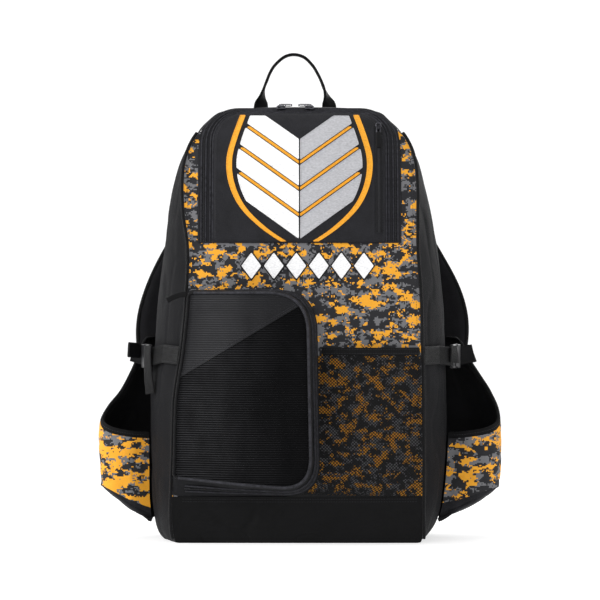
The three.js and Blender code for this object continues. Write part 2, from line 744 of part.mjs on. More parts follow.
// Side pockets for bats: a wall that rises to the compression strap, and a sloping bottom.
const floorShare = 0.22;
function batPoint(side, u, z, lift) {
  const row = u * lastBatRow;
  const lean = side < 0 ? leanLeftAt(z / bodyHeight) : leanRightAt(z / bodyHeight);
  const stand = batSeat + batReach * Math.max(batReachAt(row), 0) * lean;
  return onGusset(rowAtHeight(z), batStationAt(row), side, stand + lift);
}
function batFloorPoint(side, u, share) {
  const row = u * lastBatRow;
  const edge = batPoint(side, u, bodyHeight * batFloorAt(row), 0);
  const bottom = side < 0 ? batBottomLeft : batBottomRight;
  const foot = onGusset(rowAtHeight(bottom), batStationAt(row), side, 1.5 * batSeat);
  const sag = 6 * Math.sin(Math.PI * share) * Math.sin(Math.PI * u);
  const point = foot.lerp(edge, share);
  point.z -= sag;
  return point;
}
function batSurface(side, u, v) {
  const row = u * lastBatRow;
  if (v < floorShare) return batFloorPoint(side, u, v / floorShare);
  const low = bodyHeight * batFloorAt(row);
  const high = bodyHeight * batRimAt(row) - batBinding - seamGap;
  return batPoint(side, u, THREE.MathUtils.lerp(low, high, (v - floorShare) / (1 - floorShare)), 0);
}
// The surface moved inwards by a thickness, along its own normal.
function inside(surface, side, thickness) {
  return (u, v) => {
    const step = 0.004;
    const alongU = surface(Math.min(u + step, 1), v).sub(surface(Math.max(u - step, 0), v));
    const alongV = surface(u, Math.min(v + step, 1)).sub(surface(u, Math.max(v - step, 0)));
    const normal = alongU.cross(alongV).normalize().multiplyScalar(-side);
    const atEnd = u === 0 || u === 1;
    if (atEnd) normal.x = Math.abs(normal.x) * side;
    return surface(u, v).addScaledVector(normal, thickness);
  };
}
for (const [name, side] of [
  ["left", -1],
  ["right", 1],
]) {
  const wall = (u, v) => batSurface(side, u, v);
  add("bat_pocket_" + name, gridSolid(wall, inside(wall, side, batWall), 16, 9), "camouflage");
  const binding = (u, v) => {
    const rim = bodyHeight * batRimAt(u * lastBatRow);
    return batPoint(side, u, rim - batBinding * (1 - v), 0);
  };
  add(
    "bat_pocket_binding_" + name,
    gridSolid(binding, inside(binding, side, batBindingThickness), 16, 1),
    "webbing",
  );
}

// A block with its edges square to the bag, ready to be joined or cut.
const block = (width, depth, height, x = 0, y = 0, z = 0) =>
  toManifold(new THREE.BoxGeometry(width, depth, height).translate(x, y, z));

// Compression straps with their buckles. The male half holds the loose end, the female half the wing.
const vertical = new THREE.Vector3(0, 0, 1);
const turn = THREE.MathUtils.degToRad(buckleTurn);
const buckleX = (side, clearance) =>
  Math.abs(gussetPoint(rowAtHeight(compressionHeight), 0.5, side).point.x) + clearance;
const buckleLeftX = buckleX(-1, buckleLeftClearance);
const buckleRightX = buckleX(1, buckleRightClearance);
for (const [name, side, buckleOut, tailLength] of [
  ["left", -1, buckleLeftX, tailLeftLength],
  ["right", 1, buckleRightX, tailRightLength],
]) {
  const row = rowAtHeight(compressionHeight);
  const along = new THREE.Vector3(side * Math.sin(turn), Math.cos(turn), 0);
  const middle = new THREE.Vector3(side * buckleOut, buckleY, compressionHeight - wingDrop);
  const onAxis = (distance) => middle.clone().addScaledVector(along, distance);

  const strap = Array.from({ length: 6 }, (_, k) => {
    const share = THREE.MathUtils.lerp(0.03, compressionEnd, k / 5);
    return {
      point: onGusset(row, share, side, strapLift + webbingThickness / 2),
      across: onGusset(row + 0.2, share, side, 0).sub(onGusset(row - 0.2, share, side, 0)),
    };
  });
  for (const distance of [8, seamGap])
    strap.push({ point: onAxis(-maleLength - distance), across: vertical });
  const webbing = (stations) =>
    band(
      stations.map((station) => ({ ...station, width: compressionWidth, thickness: webbingThickness })),
    );
  add("compression_strap_" + name, webbing(strap), "webbing");

  const half = (from, to, shares) =>
    band(
      shares.map(([place, width, thickness]) => ({
        point: onAxis(THREE.MathUtils.lerp(from, to, place)),
        across: vertical,
        width: buckleWidth * width,
        thickness: buckleThickness * thickness,
        bevel: buckleBevel * thickness,
      })),
    );
  add(
    "buckle_male_" + name,
    half(-maleLength, -seamGap, [
      [0, 0.94, 0.7],
      [0.12, 1, 0.85],
      [0.7, 1, 0.9],
      [1, 0.92, 0.9],
    ]),
    "plastic",
    0.4,
  );
  add(
    "buckle_female_" + name,
    half(0, femaleLength, [
      [0, 0.98, 0.96],
      [0.15, 1, 1],
      [0.75, 1, 1],
      [0.92, 0.94, 0.85],
      [1, 0.84, 0.6],
    ]),
    "plastic",
    0.4,
  );

  // The wing webbing runs from the buckle to the pocket's rising edge and is sewn on there.
  const wingZ = compressionHeight - wingDrop;
  const wing = [0.6, 0.6875, 0.75, 0.8125].map((u) => ({
    point: batPoint(side, u, wingZ, wingLift + webbingThickness / 2),
    across: batPoint(side, u, wingZ + 10, 0).sub(batPoint(side, u, wingZ - 10, 0)),
  }));
  const wingStart = [0, 5].map((gap) => ({
    point: onAxis(femaleLength + seamGap + gap),
    across: vertical,
  }));
  add("wing_webbing_" + name, webbing([...wingStart, ...wing]), "webbing");

  // The loose end hangs over the strap in front of the buckle.
  const start = onAxis(-maleLength - 6);
  const off = (x, y, z) => start.clone().add(new THREE.Vector3(side * x, y, z));
  const tail = [
    off(3.5, 0, 14),
    off(4.5, 0, 4),
    off(4.5, -1, -8),
    off(3.5, -3, -14 - tailLength / 3),
    off(2, -5, -14 - tailLength / 2),
    off(1, -6, -tailLength),
  ];
  add(
    "strap_tail_" + name,
    band(
      (tailLength > 30 ? tail : tail.slice(0, 3)).map((point) => ({
        point,
        across: new THREE.Vector3(side * 0.36, 0.93, 0),
        width: compressionWidth - 1,
        thickness: webbingThickness,
      })),
    ),
    "webbing",
  );
}

// A folded tab that stands out from the left wing webbing, just behind the buckle.
const tabRoot = new THREE.Vector3(
  -buckleLeftX - tabOffset,
  buckleY + femaleLength + 5,
  compressionHeight + 5,
);
add(
  "webbing_tab_left",
  band(
    [0, 0.4, 0.75, 1].map((share) => ({
      point: tabRoot.clone().add(new THREE.Vector3(-1, -0.9, 0.1).multiplyScalar(tabLength * share)),
      across: vertical,
      width: tabHeight,
      thickness: 2 * webbingThickness,
    })),
  ),
  "webbing",
);

// Shoulder straps: padded, sewn on high up and curving round to their webbing.
const strapLeftAt = through(strapRows, "row", "left");
const strapRightAt = through(strapRows, "row", "right");
const strapOffAt = through(strapRows, "row", "off");
const strapHeightAt = through(strapRows, "row", "height");
const strapWidthAt = through(strapRows, "row", "width");
const lyingY = (z, thickness) => backY(z) + backPadThickness + seatGap + thickness / 2;
function strapPoint(row, side) {
  const z = bodyHeight * strapHeightAt(row);
  const y = lyingY(z, shoulderStrapThickness) + bodyDepth * strapOffAt(row);
  const across = side < 0 ? strapLeftAt(row) : strapRightAt(row);
  return new THREE.Vector3(side * halfBack * across, y, z);
}
const padRing = Array.from({ length: 12 }, (_, k) => {
  const angle = (2 * Math.PI * (k + 0.5)) / 12;
  const rounded = (value, power) => Math.sign(value) * Math.abs(value) ** power;
  return [rounded(Math.cos(angle), 0.6) / 2, rounded(Math.sin(angle), 0.8) / 2];
});
for (const [name, side] of [
  ["left", -1],
  ["right", 1],
]) {
  const count = 18;
  const sections = Array.from({ length: count + 1 }, (_, k) => {
    const row = (lastStrapRow * k) / count;
    const point = strapPoint(row, side);
    const along = strapPoint(Math.min(row + 0.1, lastStrapRow), side)
      .sub(strapPoint(Math.max(row - 0.1, 0), side))
      .normalize();
    const across = along.clone().cross(new THREE.Vector3(0, 1, 0)).normalize();
    const thick = across.clone().cross(along);
    const swell = k === count ? 0.6 : 1;
    return padRing.map(([a, b]) =>
      point
        .clone()
        .addScaledVector(across, a * shoulderStrapWidth * strapWidthAt(row))
        .addScaledVector(thick, b * shoulderStrapThickness * swell),
    );
  });
  add("shoulder_strap_" + name, loftSolid(sections), "blackCloth");

  const end = strapPoint(lastStrapRow, side);
  const down = end.clone().sub(strapPoint(lastStrapRow - 0.1, side)).normalize();
  const lowZ = 0.06 * bodyHeight;
  const low = new THREE.Vector3(side * 0.8 * halfBack, lyingY(lowZ, webbingThickness), lowZ);
  const first = end.clone().addScaledVector(down, 2 * seamGap);
  const path = [
    first,
    end.clone().addScaledVector(down, 30),
    end.clone().addScaledVector(down, 42),
    end.clone().addScaledVector(down, 30).lerp(low, 0.6),
    low.clone().add(new THREE.Vector3(side, 0.5, 10)),
    low.clone().add(new THREE.Vector3(0, 0, -12)),
  ];
  const across = down.clone().cross(new THREE.Vector3(0, 1, 0)).normalize();
  add(
    "shoulder_webbing_" + name,
    band(path.map((point) => ({ point, across, width: strapWebbingWidth, thickness: webbingThickness }))),
    "webbing",
  );

  // A slotted adjuster lies on the webbing just below the strap.
  const plate = block(adjusterWidth, adjusterThickness, adjusterLength)
    .subtract(block(adjusterWidth - 8, 2 * adjusterThickness, 4.5, 0, 0, 5.5))
    .subtract(block(adjusterWidth - 8, 2 * adjusterThickness, 4.5, 0, 0, -5.5));
  const adjuster = toGeometry(plate);
  const thick = across.clone().cross(down).normalize();
  if (thick.y < 0) thick.negate();
  const upward = down.clone().negate();
  const basis = new THREE.Matrix4().makeBasis(thick.clone().cross(upward), thick, upward);
  const seat = path[0]
    .clone()
    .lerp(path[1], 0.65)
    .addScaledVector(thick, adjusterThickness / 2 + webbingThickness / 2 + 0.8);
  add("adjuster_" + name, adjuster.applyMatrix4(basis.setPosition(seat)), "plastic", 0.4);
}

// The point of the top gusset's outer face at a distance from the middle, found by halving.
function topGussetPoint(x, share) {
  let low = shoulderRow;
  let high = lastRow;
  for (let step = 0; step < 40; step++) {
    const middle = (low + high) / 2;
    if (gussetPoint(middle, share, 1).point.x > x) low = middle;
    else high = middle;
  }
  return gussetPoint(low, share, 1).point;
}

// Haul handle: webbing that stands on the top gusset at both ends and turns edge on above.
const handleAcrossAt = through(handleRows, "row", "across");
const handleHeightAt = through(handleRows, "row", "height");
const handleTurnAt = through(handleRows, "row", "turn");
const lastHandleRow = handleRows.length - 1;
const handleFoot = topGussetPoint(handleSpan / 2 - handleWidth / 2, handleShare);
const handlePath = Array.from({ length: 25 }, (_, k) => {
  const row = (lastHandleRow * k) / 24;
  const angle = (Math.PI / 2) * handleTurnAt(row);
  return {
    point: new THREE.Vector3(
      handleCentre + (handleSpan / 2) * handleAcrossAt(row),
      handleFoot.y,
      handleFoot.z + 3 * seamGap + handleHeight * handleHeightAt(row),
    ),
    across: new THREE.Vector3(Math.cos(angle), Math.sin(angle), 0),
    width: handleWidth,
    thickness: handleThickness,
    bevel: 0.8,
  };
});
add("haul_handle", band(handlePath), "webbing");

// A zip slider with its pull, upright at the origin: the tape lies below it and the pull points down.
function slider(pullLength, pullWidth) {
  const body = block(sliderWidth, sliderHeight, sliderLength);
  const bridge = block(3, 3, 8, 0, -sliderHeight / 2 - 1, 0);
  const pull = block(pullWidth, 1.6, pullLength, 0, -sliderHeight / 2 - 2.2, -pullLength / 2 + 2);
  const hole = block(pullWidth / 2.5, 4, pullWidth / 2, 0, -sliderHeight / 2 - 2.2, 6 - pullLength);
  return toGeometry(body.add(bridge).add(pull).subtract(hole));
}
// The front's lean between two heights, as an angle from upright.
const leanOf = (x, low, high) => Math.atan2(frontY(x, high) - frontY(x, low), high - low);
const flapSliderZ = flapZipHigh - flapSliderDrop;
const flapSliderY = frontY(flapZipX, flapSliderZ) - flapRise - seatGap - tapeThickness;
add(
  "flap_zip_slider",
  slider(flapPullLength, flapPullWidth)
    .rotateX(-leanOf(flapZipX, flapSliderZ - flapPullLength, flapSliderZ + 4))
    .translate(flapZipX, flapSliderY - sliderHeight / 2 - 1.8, flapSliderZ),
  "metal",
  0.35,
  0.9,
);

// Two sliders meet on the zip that runs over the top of the flap.
for (const [name, x, direction] of [
  ["left", topSliderLeftX, 1],
  ["right", topSliderRightX, -1],
]) {
  const z = topZipHeight;
  const lean = leanOf(x, z - 4, bodyHeight);
  const lift = zipBandRise + seatGap + sliderHeight / 2;
  add(
    "top_zip_slider_" + name,
    slider(topPullLength, topPullWidth)
      .rotateY((direction * Math.PI) / 2)
      .rotateX(-lean)
      .translate(x, frontY(x, z) - lift * Math.cos(lean), z + lift * Math.sin(lean)),
    "metal",
    0.35,
    0.9,
  );
}

// The box pocket's zip ends in a pull that reaches over the left side panel.
const pullRoot = new THREE.Vector3(seamX(doorTop) - 1.4, seamY(doorTop) - 10, doorTop - 3);
add(
  "box_pocket_zip_pull",
  band(
    [0, 0.5, 1].map((share) => ({
      point: pullRoot.clone().add(new THREE.Vector3(-pocketPullLength * share, 5 * share, -8 * share ** 2)),
      across: vertical,
      width: pocketPullWidth,
      thickness: webbingThickness,
    })),
  ),
  "webbing",
);

export default bag;
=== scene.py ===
"""A sports backpack for bats, a helmet and a glove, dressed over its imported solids.

Shapes are worked out in millimetres and turned into metres when a mesh is made.
X points right seen from the front, Y points to the wearer's back, Z points up.
Left and right are the viewer's, from the front.
"""

import math

import bpy
import numpy as np
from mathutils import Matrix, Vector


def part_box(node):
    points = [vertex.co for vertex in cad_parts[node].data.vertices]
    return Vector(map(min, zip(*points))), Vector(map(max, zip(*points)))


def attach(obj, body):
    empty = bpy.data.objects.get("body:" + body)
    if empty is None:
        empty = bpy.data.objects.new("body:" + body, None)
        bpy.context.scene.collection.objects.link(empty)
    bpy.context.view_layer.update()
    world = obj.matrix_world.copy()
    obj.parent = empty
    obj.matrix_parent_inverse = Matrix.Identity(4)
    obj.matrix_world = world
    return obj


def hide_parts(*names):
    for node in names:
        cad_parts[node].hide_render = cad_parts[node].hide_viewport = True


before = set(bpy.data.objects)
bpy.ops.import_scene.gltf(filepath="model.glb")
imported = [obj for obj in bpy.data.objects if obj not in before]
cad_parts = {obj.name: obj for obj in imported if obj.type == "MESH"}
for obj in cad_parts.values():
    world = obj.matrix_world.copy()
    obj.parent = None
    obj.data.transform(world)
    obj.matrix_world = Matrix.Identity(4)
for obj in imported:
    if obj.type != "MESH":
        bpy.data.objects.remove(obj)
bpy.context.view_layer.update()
scene = bpy.context.scene

MM = 0.001
RIB_PITCH = 2.9
COIL_PITCH = 2.0
CAMOUFLAGE_CELL = 1.5

# Whole bag, the same sizes as the solids
BODY_HEIGHT = 562
HALF_FRONT = 157
HALF_BACK = 192
HALF_DEPTH = 107.5
FRONT_BULGE = 12
GUSSET_BULGE = 20
CLOTH = 2
SEAM_GAP = 0.3
SEAT_GAP = 0.5
PIPING_RADIUS = 2.1
BAND_HEIGHT = 60

# Flap and the zip round it
FLAP_HALF = 112
FLAP_BOTTOM = 385
FLAP_TOP = 555
FLAP_CORNER = 38
FLAP_RISE = 5
ZIP_BAND_WIDTH = 18.5
ZIP_BAND_RISE = 1
ZIP_BAND_SHOULDER = 492
FLAP_ZIP_X = 102
FLAP_ZIP_LOW = 398
FLAP_ZIP_HIGH = 536

# Back and carrying
BACK_PAD = 9
STRAP_WIDTH = 66
STRAP_THICKNESS = 13
HANDLE_SPAN = 92
HANDLE_CENTRE = -6
HANDLE_HEIGHT = 78
HANDLE_WIDTH = 19
HANDLE_THICKNESS = 3.6
WEBBING = 1.8

# Box pocket
DOOR_RIGHT = 15
DOOR_TOP = 322
DOOR_LOW_LEFT = 84
DOOR_LOW_RIGHT = 69
DOOR_TOP_RADIUS = 52
DOOR_LOW_RADIUS = 44
DOOR_SEAM_RADIUS = 8
DOOR_DEPTH = 38
DOOR_CROWN = 5
DOOR_FLARE = 11
DOOR_FACE = 1.5
DOOR_SEAM_LEFT = 211
DOOR_SEAM_RIGHT = 313

# Mesh pocket
MESH_LEFT = 29
MESH_INSET = 1.5
MESH_LOW = 64
MESH_TOP = 241
MESH_BINDING = 10
MESH_GAPE = 12
MESH_THICKNESS = 1.2

# Bat pockets
BAT_REACH = 66
BAT_WALL = 2.4
BAT_SEAT = 1.1
BAT_BOTTOM = {-1: 26, 1: 24}
BAT_HEM = {-1: 5.5, 1: 11}
BAT_BINDING = 8
BAT_BINDING_THICKNESS = 3.2
FLOOR_SHARE = 0.22
HEM_SHARE = 0.3

# Compression straps and buckles
COMPRESSION_HEIGHT = 240
COMPRESSION_WIDTH = 24
COMPRESSION_END = 0.27
BUCKLE_X = {-1: 199, 1: 203}
BUCKLE_Y = 8
BUCKLE_TURN = math.radians(12)
BUCKLE_THICKNESS = 8.5
BUCKLE_WIDTH = 31
FEMALE_LENGTH = 28
MALE_LENGTH = 22
WING_LIFT = 5

SIDES = {-1: "left", 1: "right"}
FRONTWARD = (0, -1, 0)
UP = (0, 0, 1)


def rows(columns, *values):
    """A table with named columns: each column's values from its first row to its last."""
    return dict(zip(columns.split(), np.array(values, float).T))


# The front seam and the back seam from the middle of the base over one side to the middle of the top.
OUTLINE = rows(
    "front_height left right back_height back left_bulge right_bulge",
    (0, 0, 0, 0, 0, 0, 0),
    (0, 0.64, 0.64, 0, 0.5, 0, 0),
    (0, 0.96, 0.94, 0, 0.74, 0, 0),
    (0.011, 1.02, 1, 0.02, 0.88, 0.94, 0.3),
    (0.071, 1.04, 1, 0.079, 0.965, 0.98, 0.7),
    (0.196, 1.025, 1, 0.198, 0.99, 1, 0.95),
    (0.329, 1.01, 0.997, 0.329, 0.995, 1, 1),
    (0.445, 0.95, 0.99, 0.445, 0.97, 1, 1),
    (0.561, 0.912, 0.98, 0.561, 0.95, 1, 1),
    (0.669, 0.9, 0.955, 0.669, 0.92, 0.9, 0.9),
    (0.747, 0.936, 0.955, 0.744, 0.885, 0.75, 0.75),
    (0.815, 0.949, 0.955, 0.811, 0.833, 0.6, 0.6),
    (0.876, 0.93, 0.936, 0.869, 0.781, 0.45, 0.45),
    (0.923, 0.866, 0.873, 0.914, 0.708, 0.35, 0.35),
    (0.966, 0.745, 0.745, 0.957, 0.62, 0.3, 0.3),
    (0.99, 0.63, 0.63, 0.986, 0.46, 0.25, 0.25),
    (0.998, 0.287, 0.287, 0.993, 0.219, 0.25, 0.25),
    (1, 0, 0, 0.995, 0, 0.25, 0.25),
)
LAST_ROW = 17
CORNER_ROW = 2.25
SHOULDER_ROW = 12.7
CROWN_ROW = 16.6
DEPTH = rows(
    "height front back dome",
    (0, 0.93, 0.93, 0.15),
    (0.053, 0.99, 0.97, 0.5),
    (0.214, 1.02, 1, 0.9),
    (0.445, 1.01, 1, 1),
    (0.588, 0.97, 1, 1),
    (0.685, 0.92, 0.99, 0.95),
    (0.783, 0.83, 0.97, 1),
    (0.854, 0.73, 0.95, 1),
    (0.916, 0.58, 0.92, 0.9),
    (0.971, 0.42, 0.88, 0.6),
    (1, 0.26, 0.84, 0.3),
)
BAT = rows(
    "station reach floor rim",
    (0.5, 0, 0.059, 0.247),
    (0.47, 0.4, 0.081, 0.251),
    (0.49, 0.8, 0.107, 0.261),
    (0.56, 0.98, 0.119, 0.281),
    (0.66, 1, 0.121, 0.338),
    (0.74, 0.98, 0.121, 0.413),
    (0.82, 0.88, 0.117, 0.459),
    (0.92, 0.55, 0.094, 0.466),
    (0.985, 0, 0.059, 0.466),
)
LEAN = rows(
    "height left right",
    (0, 0.96, 1),
    (0.119, 0.97, 1.06),
    (0.267, 0.97, 1.02),
    (0.303, 0.81, 0.96),
    (0.338, 0.57, 0.82),
    (0.377, 0.42, 0.62),
    (0.413, 0.34, 0.47),
    (0.466, 0.27, 0.36),
)
STRAP = rows(
    "left right off height width",
    (0.25, 0.25, 0, 0.915, 0.82),
    (0.3, 0.3, 0.035, 0.895, 0.86),
    (0.43, 0.44, 0.135, 0.838, 0.95),
    (0.62, 0.65, 0.18, 0.749, 1),
    (0.82, 0.85, 0.2, 0.641, 1),
    (0.935, 0.98, 0.17, 0.554, 1),
    (0.98, 1.02, 0.125, 0.481, 0.98),
    (0.965, 0.99, 0.08, 0.401, 0.88),
    (0.91, 0.91, 0.04, 0.321, 0.7),
)
HANDLE = rows(
    "across height turn",
    (-1, 0, 0),
    (-0.98, 0.14, 0.15),
    (-0.95, 0.28, 0.75),
    (-0.9, 0.42, 1),
    (-0.81, 0.56, 1),
    (-0.72, 0.69, 1),
    (-0.58, 0.82, 1),
    (-0.32, 0.955, 1),
    (-0.04, 1, 1),
    (0.26, 0.955, 1),
    (0.5, 0.82, 1),
    (0.64, 0.69, 1),
    (0.75, 0.56, 1),
    (0.84, 0.42, 1),
    (0.92, 0.28, 0.75),
    (0.98, 0.14, 0.15),
    (1, 0, 0),
)


def through(table, key, column):
    """A smooth function through a table's rows. The key "row" counts the rows."""
    values = table[column]
    keys = np.arange(len(values), dtype=float) if key == "row" else table[key]
    index = np.arange(len(keys))
    before = np.maximum(index - 1, 0)
    after = np.minimum(index + 1, len(keys) - 1)
    slopes = (values[after] - values[before]) / (keys[after] - keys[before])

    def at(wanted):
        x = np.clip(wanted, keys[0], keys[-1])
        i = np.clip(np.searchsorted(keys, x, side="right") - 1, 0, len(keys) - 2)
        span = keys[i + 1] - keys[i]
        t = (x - keys[i]) / span
        rise = (1 - t) ** 2
        return (
            values[i] * (1 + 2 * t) * rise
            + values[i + 1] * t * t * (3 - 2 * t)
            + slopes[i] * span * t * rise
            - slopes[i + 1] * span * t * t * (1 - t)
        )

    return at


front_height = through(OUTLINE, "row", "front_height")
back_height = through(OUTLINE, "row", "back_height")
side_share = {-1: through(OUTLINE, "row", "left"), 1: through(OUTLINE, "row", "right")}
back_share = through(OUTLINE, "row", "back")
bulge_share = {-1: through(OUTLINE, "row", "left_bulge"), 1: through(OUTLINE, "row", "right_bulge")}
front_depth = through(DEPTH, "height", "front")
back_depth = through(DEPTH, "height", "back")
dome_share = through(DEPTH, "height", "dome")
bat_station = through(BAT, "row", "station")
bat_reach = through(BAT, "row", "reach")
bat_floor = through(BAT, "row", "floor")
bat_rim = through(BAT, "row", "rim")
LAST_BAT_ROW = 8
lean_share = {-1: through(LEAN, "height", "left"), 1: through(LEAN, "height", "right")}

FINE_ROWS = np.linspace(2, LAST_ROW, 6001)


def row_at(z, height=front_height):
    """The row of the outline at a height."""
    return np.interp(z, height(FINE_ROWS) * BODY_HEIGHT, FINE_ROWS)


def stack(x, y, z):
    return np.stack(np.broadcast_arrays(x, y, z), axis=-1).astype(float)


def unit(vectors):
    return vectors / np.maximum(np.linalg.norm(vectors, axis=-1, keepdims=True), 1e-9)


def lerp(a, b, share):
    return a + (b - a) * share


def smooth(value, low=0.0, high=1.0):
    t = np.clip((value - low) / (high - low), 0, 1)
    return t * t * (3 - 2 * t)


def seam_y(z):
    return -HALF_DEPTH * front_depth(z / BODY_HEIGHT)


def back_y(z):
    return HALF_DEPTH * back_depth(z / BODY_HEIGHT)


def half_at_row(row, side):
    return HALF_FRONT * side_share[side](row)


def front_half(z, side):
    return half_at_row(row_at(z), side)


def front_y(x, z):
    """The front cloth's outer face."""
    half = np.where(x < 0, front_half(z, -1), front_half(z, 1))
    share = np.minimum(np.abs(x) / half, 1)
    return seam_y(z) - FRONT_BULGE * dome_share(z / BODY_HEIGHT) * (1 - share**2.4)


def chord(row, share, side):
    front_z = BODY_HEIGHT * front_height(row)
    back_z = BODY_HEIGHT * back_height(row)
    front = stack(half_at_row(row, side), seam_y(front_z) + CLOTH + SEAM_GAP, front_z)
    back = stack(HALF_BACK * back_share(row), back_y(back_z) - SEAM_GAP, back_z)
    return lerp(front, back, np.asarray(share)[..., None])


def gusset(row, share, side, lift=0.0, with_outward=False):
    """A point of the strip between the front seam and the back seam, lifted off its face."""
    row, share, lift = (np.asarray(value, float) for value in (row, share, lift))
    row, share = np.broadcast_arrays(row, share)
    step = 0.02
    along = chord(np.minimum(row + step, LAST_ROW), share, side) - chord(row - step, share, side)
    outward = unit(stack(along[..., 2], 0, -along[..., 0]))
    rise = GUSSET_BULGE * bulge_share[side](row) * np.sin(np.pi * share) + lift
    point = chord(row, share, side) + outward * rise[..., None]
    mirror = np.array([side, 1, 1])
    return (point * mirror, outward * mirror) if with_outward else point * mirror


# Smooth noise, the same in every run
NOISE_CELLS = 32
NOISE = np.random.default_rng(20).uniform(-1, 1, (NOISE_CELLS,) * 3)


def noise(points, size, seed=0):
    """Smooth noise from -1 to 1 with features of that size, one number or one for each axis."""
    at = points / np.asarray(size, float) + seed * 5.37
    low = np.floor(at).astype(int)
    t = at - low
    t = t * t * (3 - 2 * t)
    total = np.zeros(points.shape[:-1])
    for corner in np.ndindex(2, 2, 2):
        index = (low + corner) % NOISE_CELLS
        weight = np.prod(np.where(corner, t, 1 - t), axis=-1)
        total += weight * NOISE[index[..., 0], index[..., 1], index[..., 2]]
    return total


def folds(points, size, seed=0, layers=3):
    """Noise in layers, each half as large and half as deep as the one before."""
    size = np.asarray(size, float)
    return sum(noise(points, size / 2**k, seed + k) / 2**k for k in range(layers))


def creases(points, size, seed=0):
    """Narrow valleys from -1 to 0 that wander through the cloth."""
    return -np.clip(1 - 3.5 * np.abs(noise(points, size, seed)), 0, 1) ** 2


def crease_line(x, z, start, end, width):
    """A bump of height 1 along a straight line that dies away at its ends."""
    start, end = np.array(start, float), np.array(end, float)
    along = end - start
    length = np.linalg.norm(along)
    along /= length
    t = ((x - start[0]) * along[0] + (z - start[1]) * along[1]) / length
    off = (x - start[0]) * along[1] - (z - start[1]) * along[0]
    ends = smooth(t, -0.1, 0.3) * (1 - smooth(t, 0.7, 1.1))
    return ends * np.exp(-((off / width) ** 2))


def crease_lines(x, z, lines):
    """Several such lines, each with its depth, start, end and width."""
    return sum(depth * crease_line(x, z, start, end, width) for depth, start, end, width in lines)


def border(share, low, high):
    """0 at both ends of a share and 1 between them."""
    return smooth(share, 0, low) * (1 - smooth(share, 1 - high, 1))


# Meshes

SHARP = 40
THROUGH = 400
DEEP_IN_CLOTH = 20.0


def turned_out(points, faces):
    """Faces that all point outwards, from faces that agree with each other."""
    tri = np.array([(f[0], f[i], f[i + 1]) for f in faces for i in range(1, len(f) - 1)])
    a, b, c = (points[tri[:, k]] for k in range(3))
    volume = np.einsum("ij,ij->", a, np.cross(b, c))
    return [f[::-1] for f in faces] if volume < 0 else faces


def set_cloth(mesh, cloth):
    """Keeps each vertex's place in its flat cloth, in millimetres, for the weave."""
    attribute = mesh.attributes.new("cloth", "FLOAT_VECTOR", "POINT")
    attribute.data.foreach_set("vector", np.asarray(cloth, np.float32).ravel())


def piece(name, shape, material, node, sharp=SHARP, turn=True):
    """A piece that stands for a CAD node. Its shape is points in millimetres, faces and cloth places."""
    points, faces, cloth = shape
    points = np.asarray(points, float).reshape(-1, 3)
    faces = [list(map(int, face)) for face in faces]
    if turn:
        faces = turned_out(points, faces)
    mesh = bpy.data.meshes.new(name)
    mesh.from_pydata((points * MM).tolist(), [], faces)
    mesh.polygons.foreach_set("use_smooth", [True] * len(mesh.polygons))
    mesh.update()
    if sharp:
        mesh.set_sharp_from_angle(angle=math.radians(sharp))
    if cloth is not None:
        set_cloth(mesh, cloth)
    mesh.materials.append(material)
    made = bpy.data.objects.new(name, mesh)
    scene.collection.objects.link(made)
    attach(made, "root")
    if node:
        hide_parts(node)
    return made


def second_material(made, material, where):
    """Gives another material to the faces for which where is true."""
    made.data.materials.append(material)
    made.data.polygons.foreach_set("material_index", where.astype(np.int32))


def joined(parts):
    """Points, faces and cloth places of several solids as one."""
    points, faces, cloth, start = [], [], [], 0
    for part_points, part_faces, part_cloth in parts:
        part_faces = turned_out(part_points, part_faces)
        points.append(part_points)
        cloth.append(part_cloth)
        faces += [[start + k for k in face] for face in part_faces]
        start += len(part_points)
    return np.concatenate(points), faces, np.concatenate(cloth)


def caps(count, sides):
    """The two end faces of a tube of rings."""
    return [list(range(sides))[::-1], [(count - 1) * sides + k for k in range(sides)]]


def grid_quads(rows_, columns, ring, start=0):
    """Quads over a grid of points. A ring closes on itself across its columns."""
    j, i = np.meshgrid(np.arange(rows_ - 1), np.arange(columns if ring else columns - 1), indexing="ij")
    j, i = j.ravel(), i.ravel()
    following = (i + 1) % columns
    return start + np.stack(
        [j * columns + i, j * columns + following, (j + 1) * columns + following, (j + 1) * columns + i], 1
    )


def two_layers(outer, inner, cloth, ring=False):
    """A closed solid between two grids of points, with its rims stitched."""
    count_v, count_u = outer.shape[:2]
    total = count_v * count_u
    faces = [grid_quads(count_v, count_u, ring), grid_quads(count_v, count_u, ring, total)[:, ::-1]]
    i = np.arange(count_u if ring else count_u - 1)
    following = (i + 1) % count_u
    low, high = 0, (count_v - 1) * count_u
    faces.append(np.stack([low + following, low + i, total + low + i, total + low + following], 1))
    faces.append(np.stack([high + i, high + following, total + high + following, total + high + i], 1))
    if not ring:
        j = np.arange(count_v - 1) * count_u
        last = j + count_u - 1
        faces.append(np.stack([j, j + count_u, total + j + count_u, total + j], 1))
        faces.append(np.stack([last + count_u, last, total + last, total + last + count_u], 1))
    points = np.concatenate([outer.reshape(-1, 3), inner.reshape(-1, 3)])
    return points, np.concatenate(faces).tolist(), np.concatenate([cloth.reshape(-1, 3)] * 2)


def grid_normals(points, out, ring=False):
    """Unit normals of a grid of points, on the side that out points to."""
    if ring:
        along_u = np.roll(points, -1, 1) - np.roll(points, 1, 1)
    else:
        along_u = np.gradient(points, axis=1)
    normals = unit(np.cross(along_u, np.gradient(points, axis=0)))
    return normals if np.sum(normals * np.asarray(out, float)) > 0 else -normals


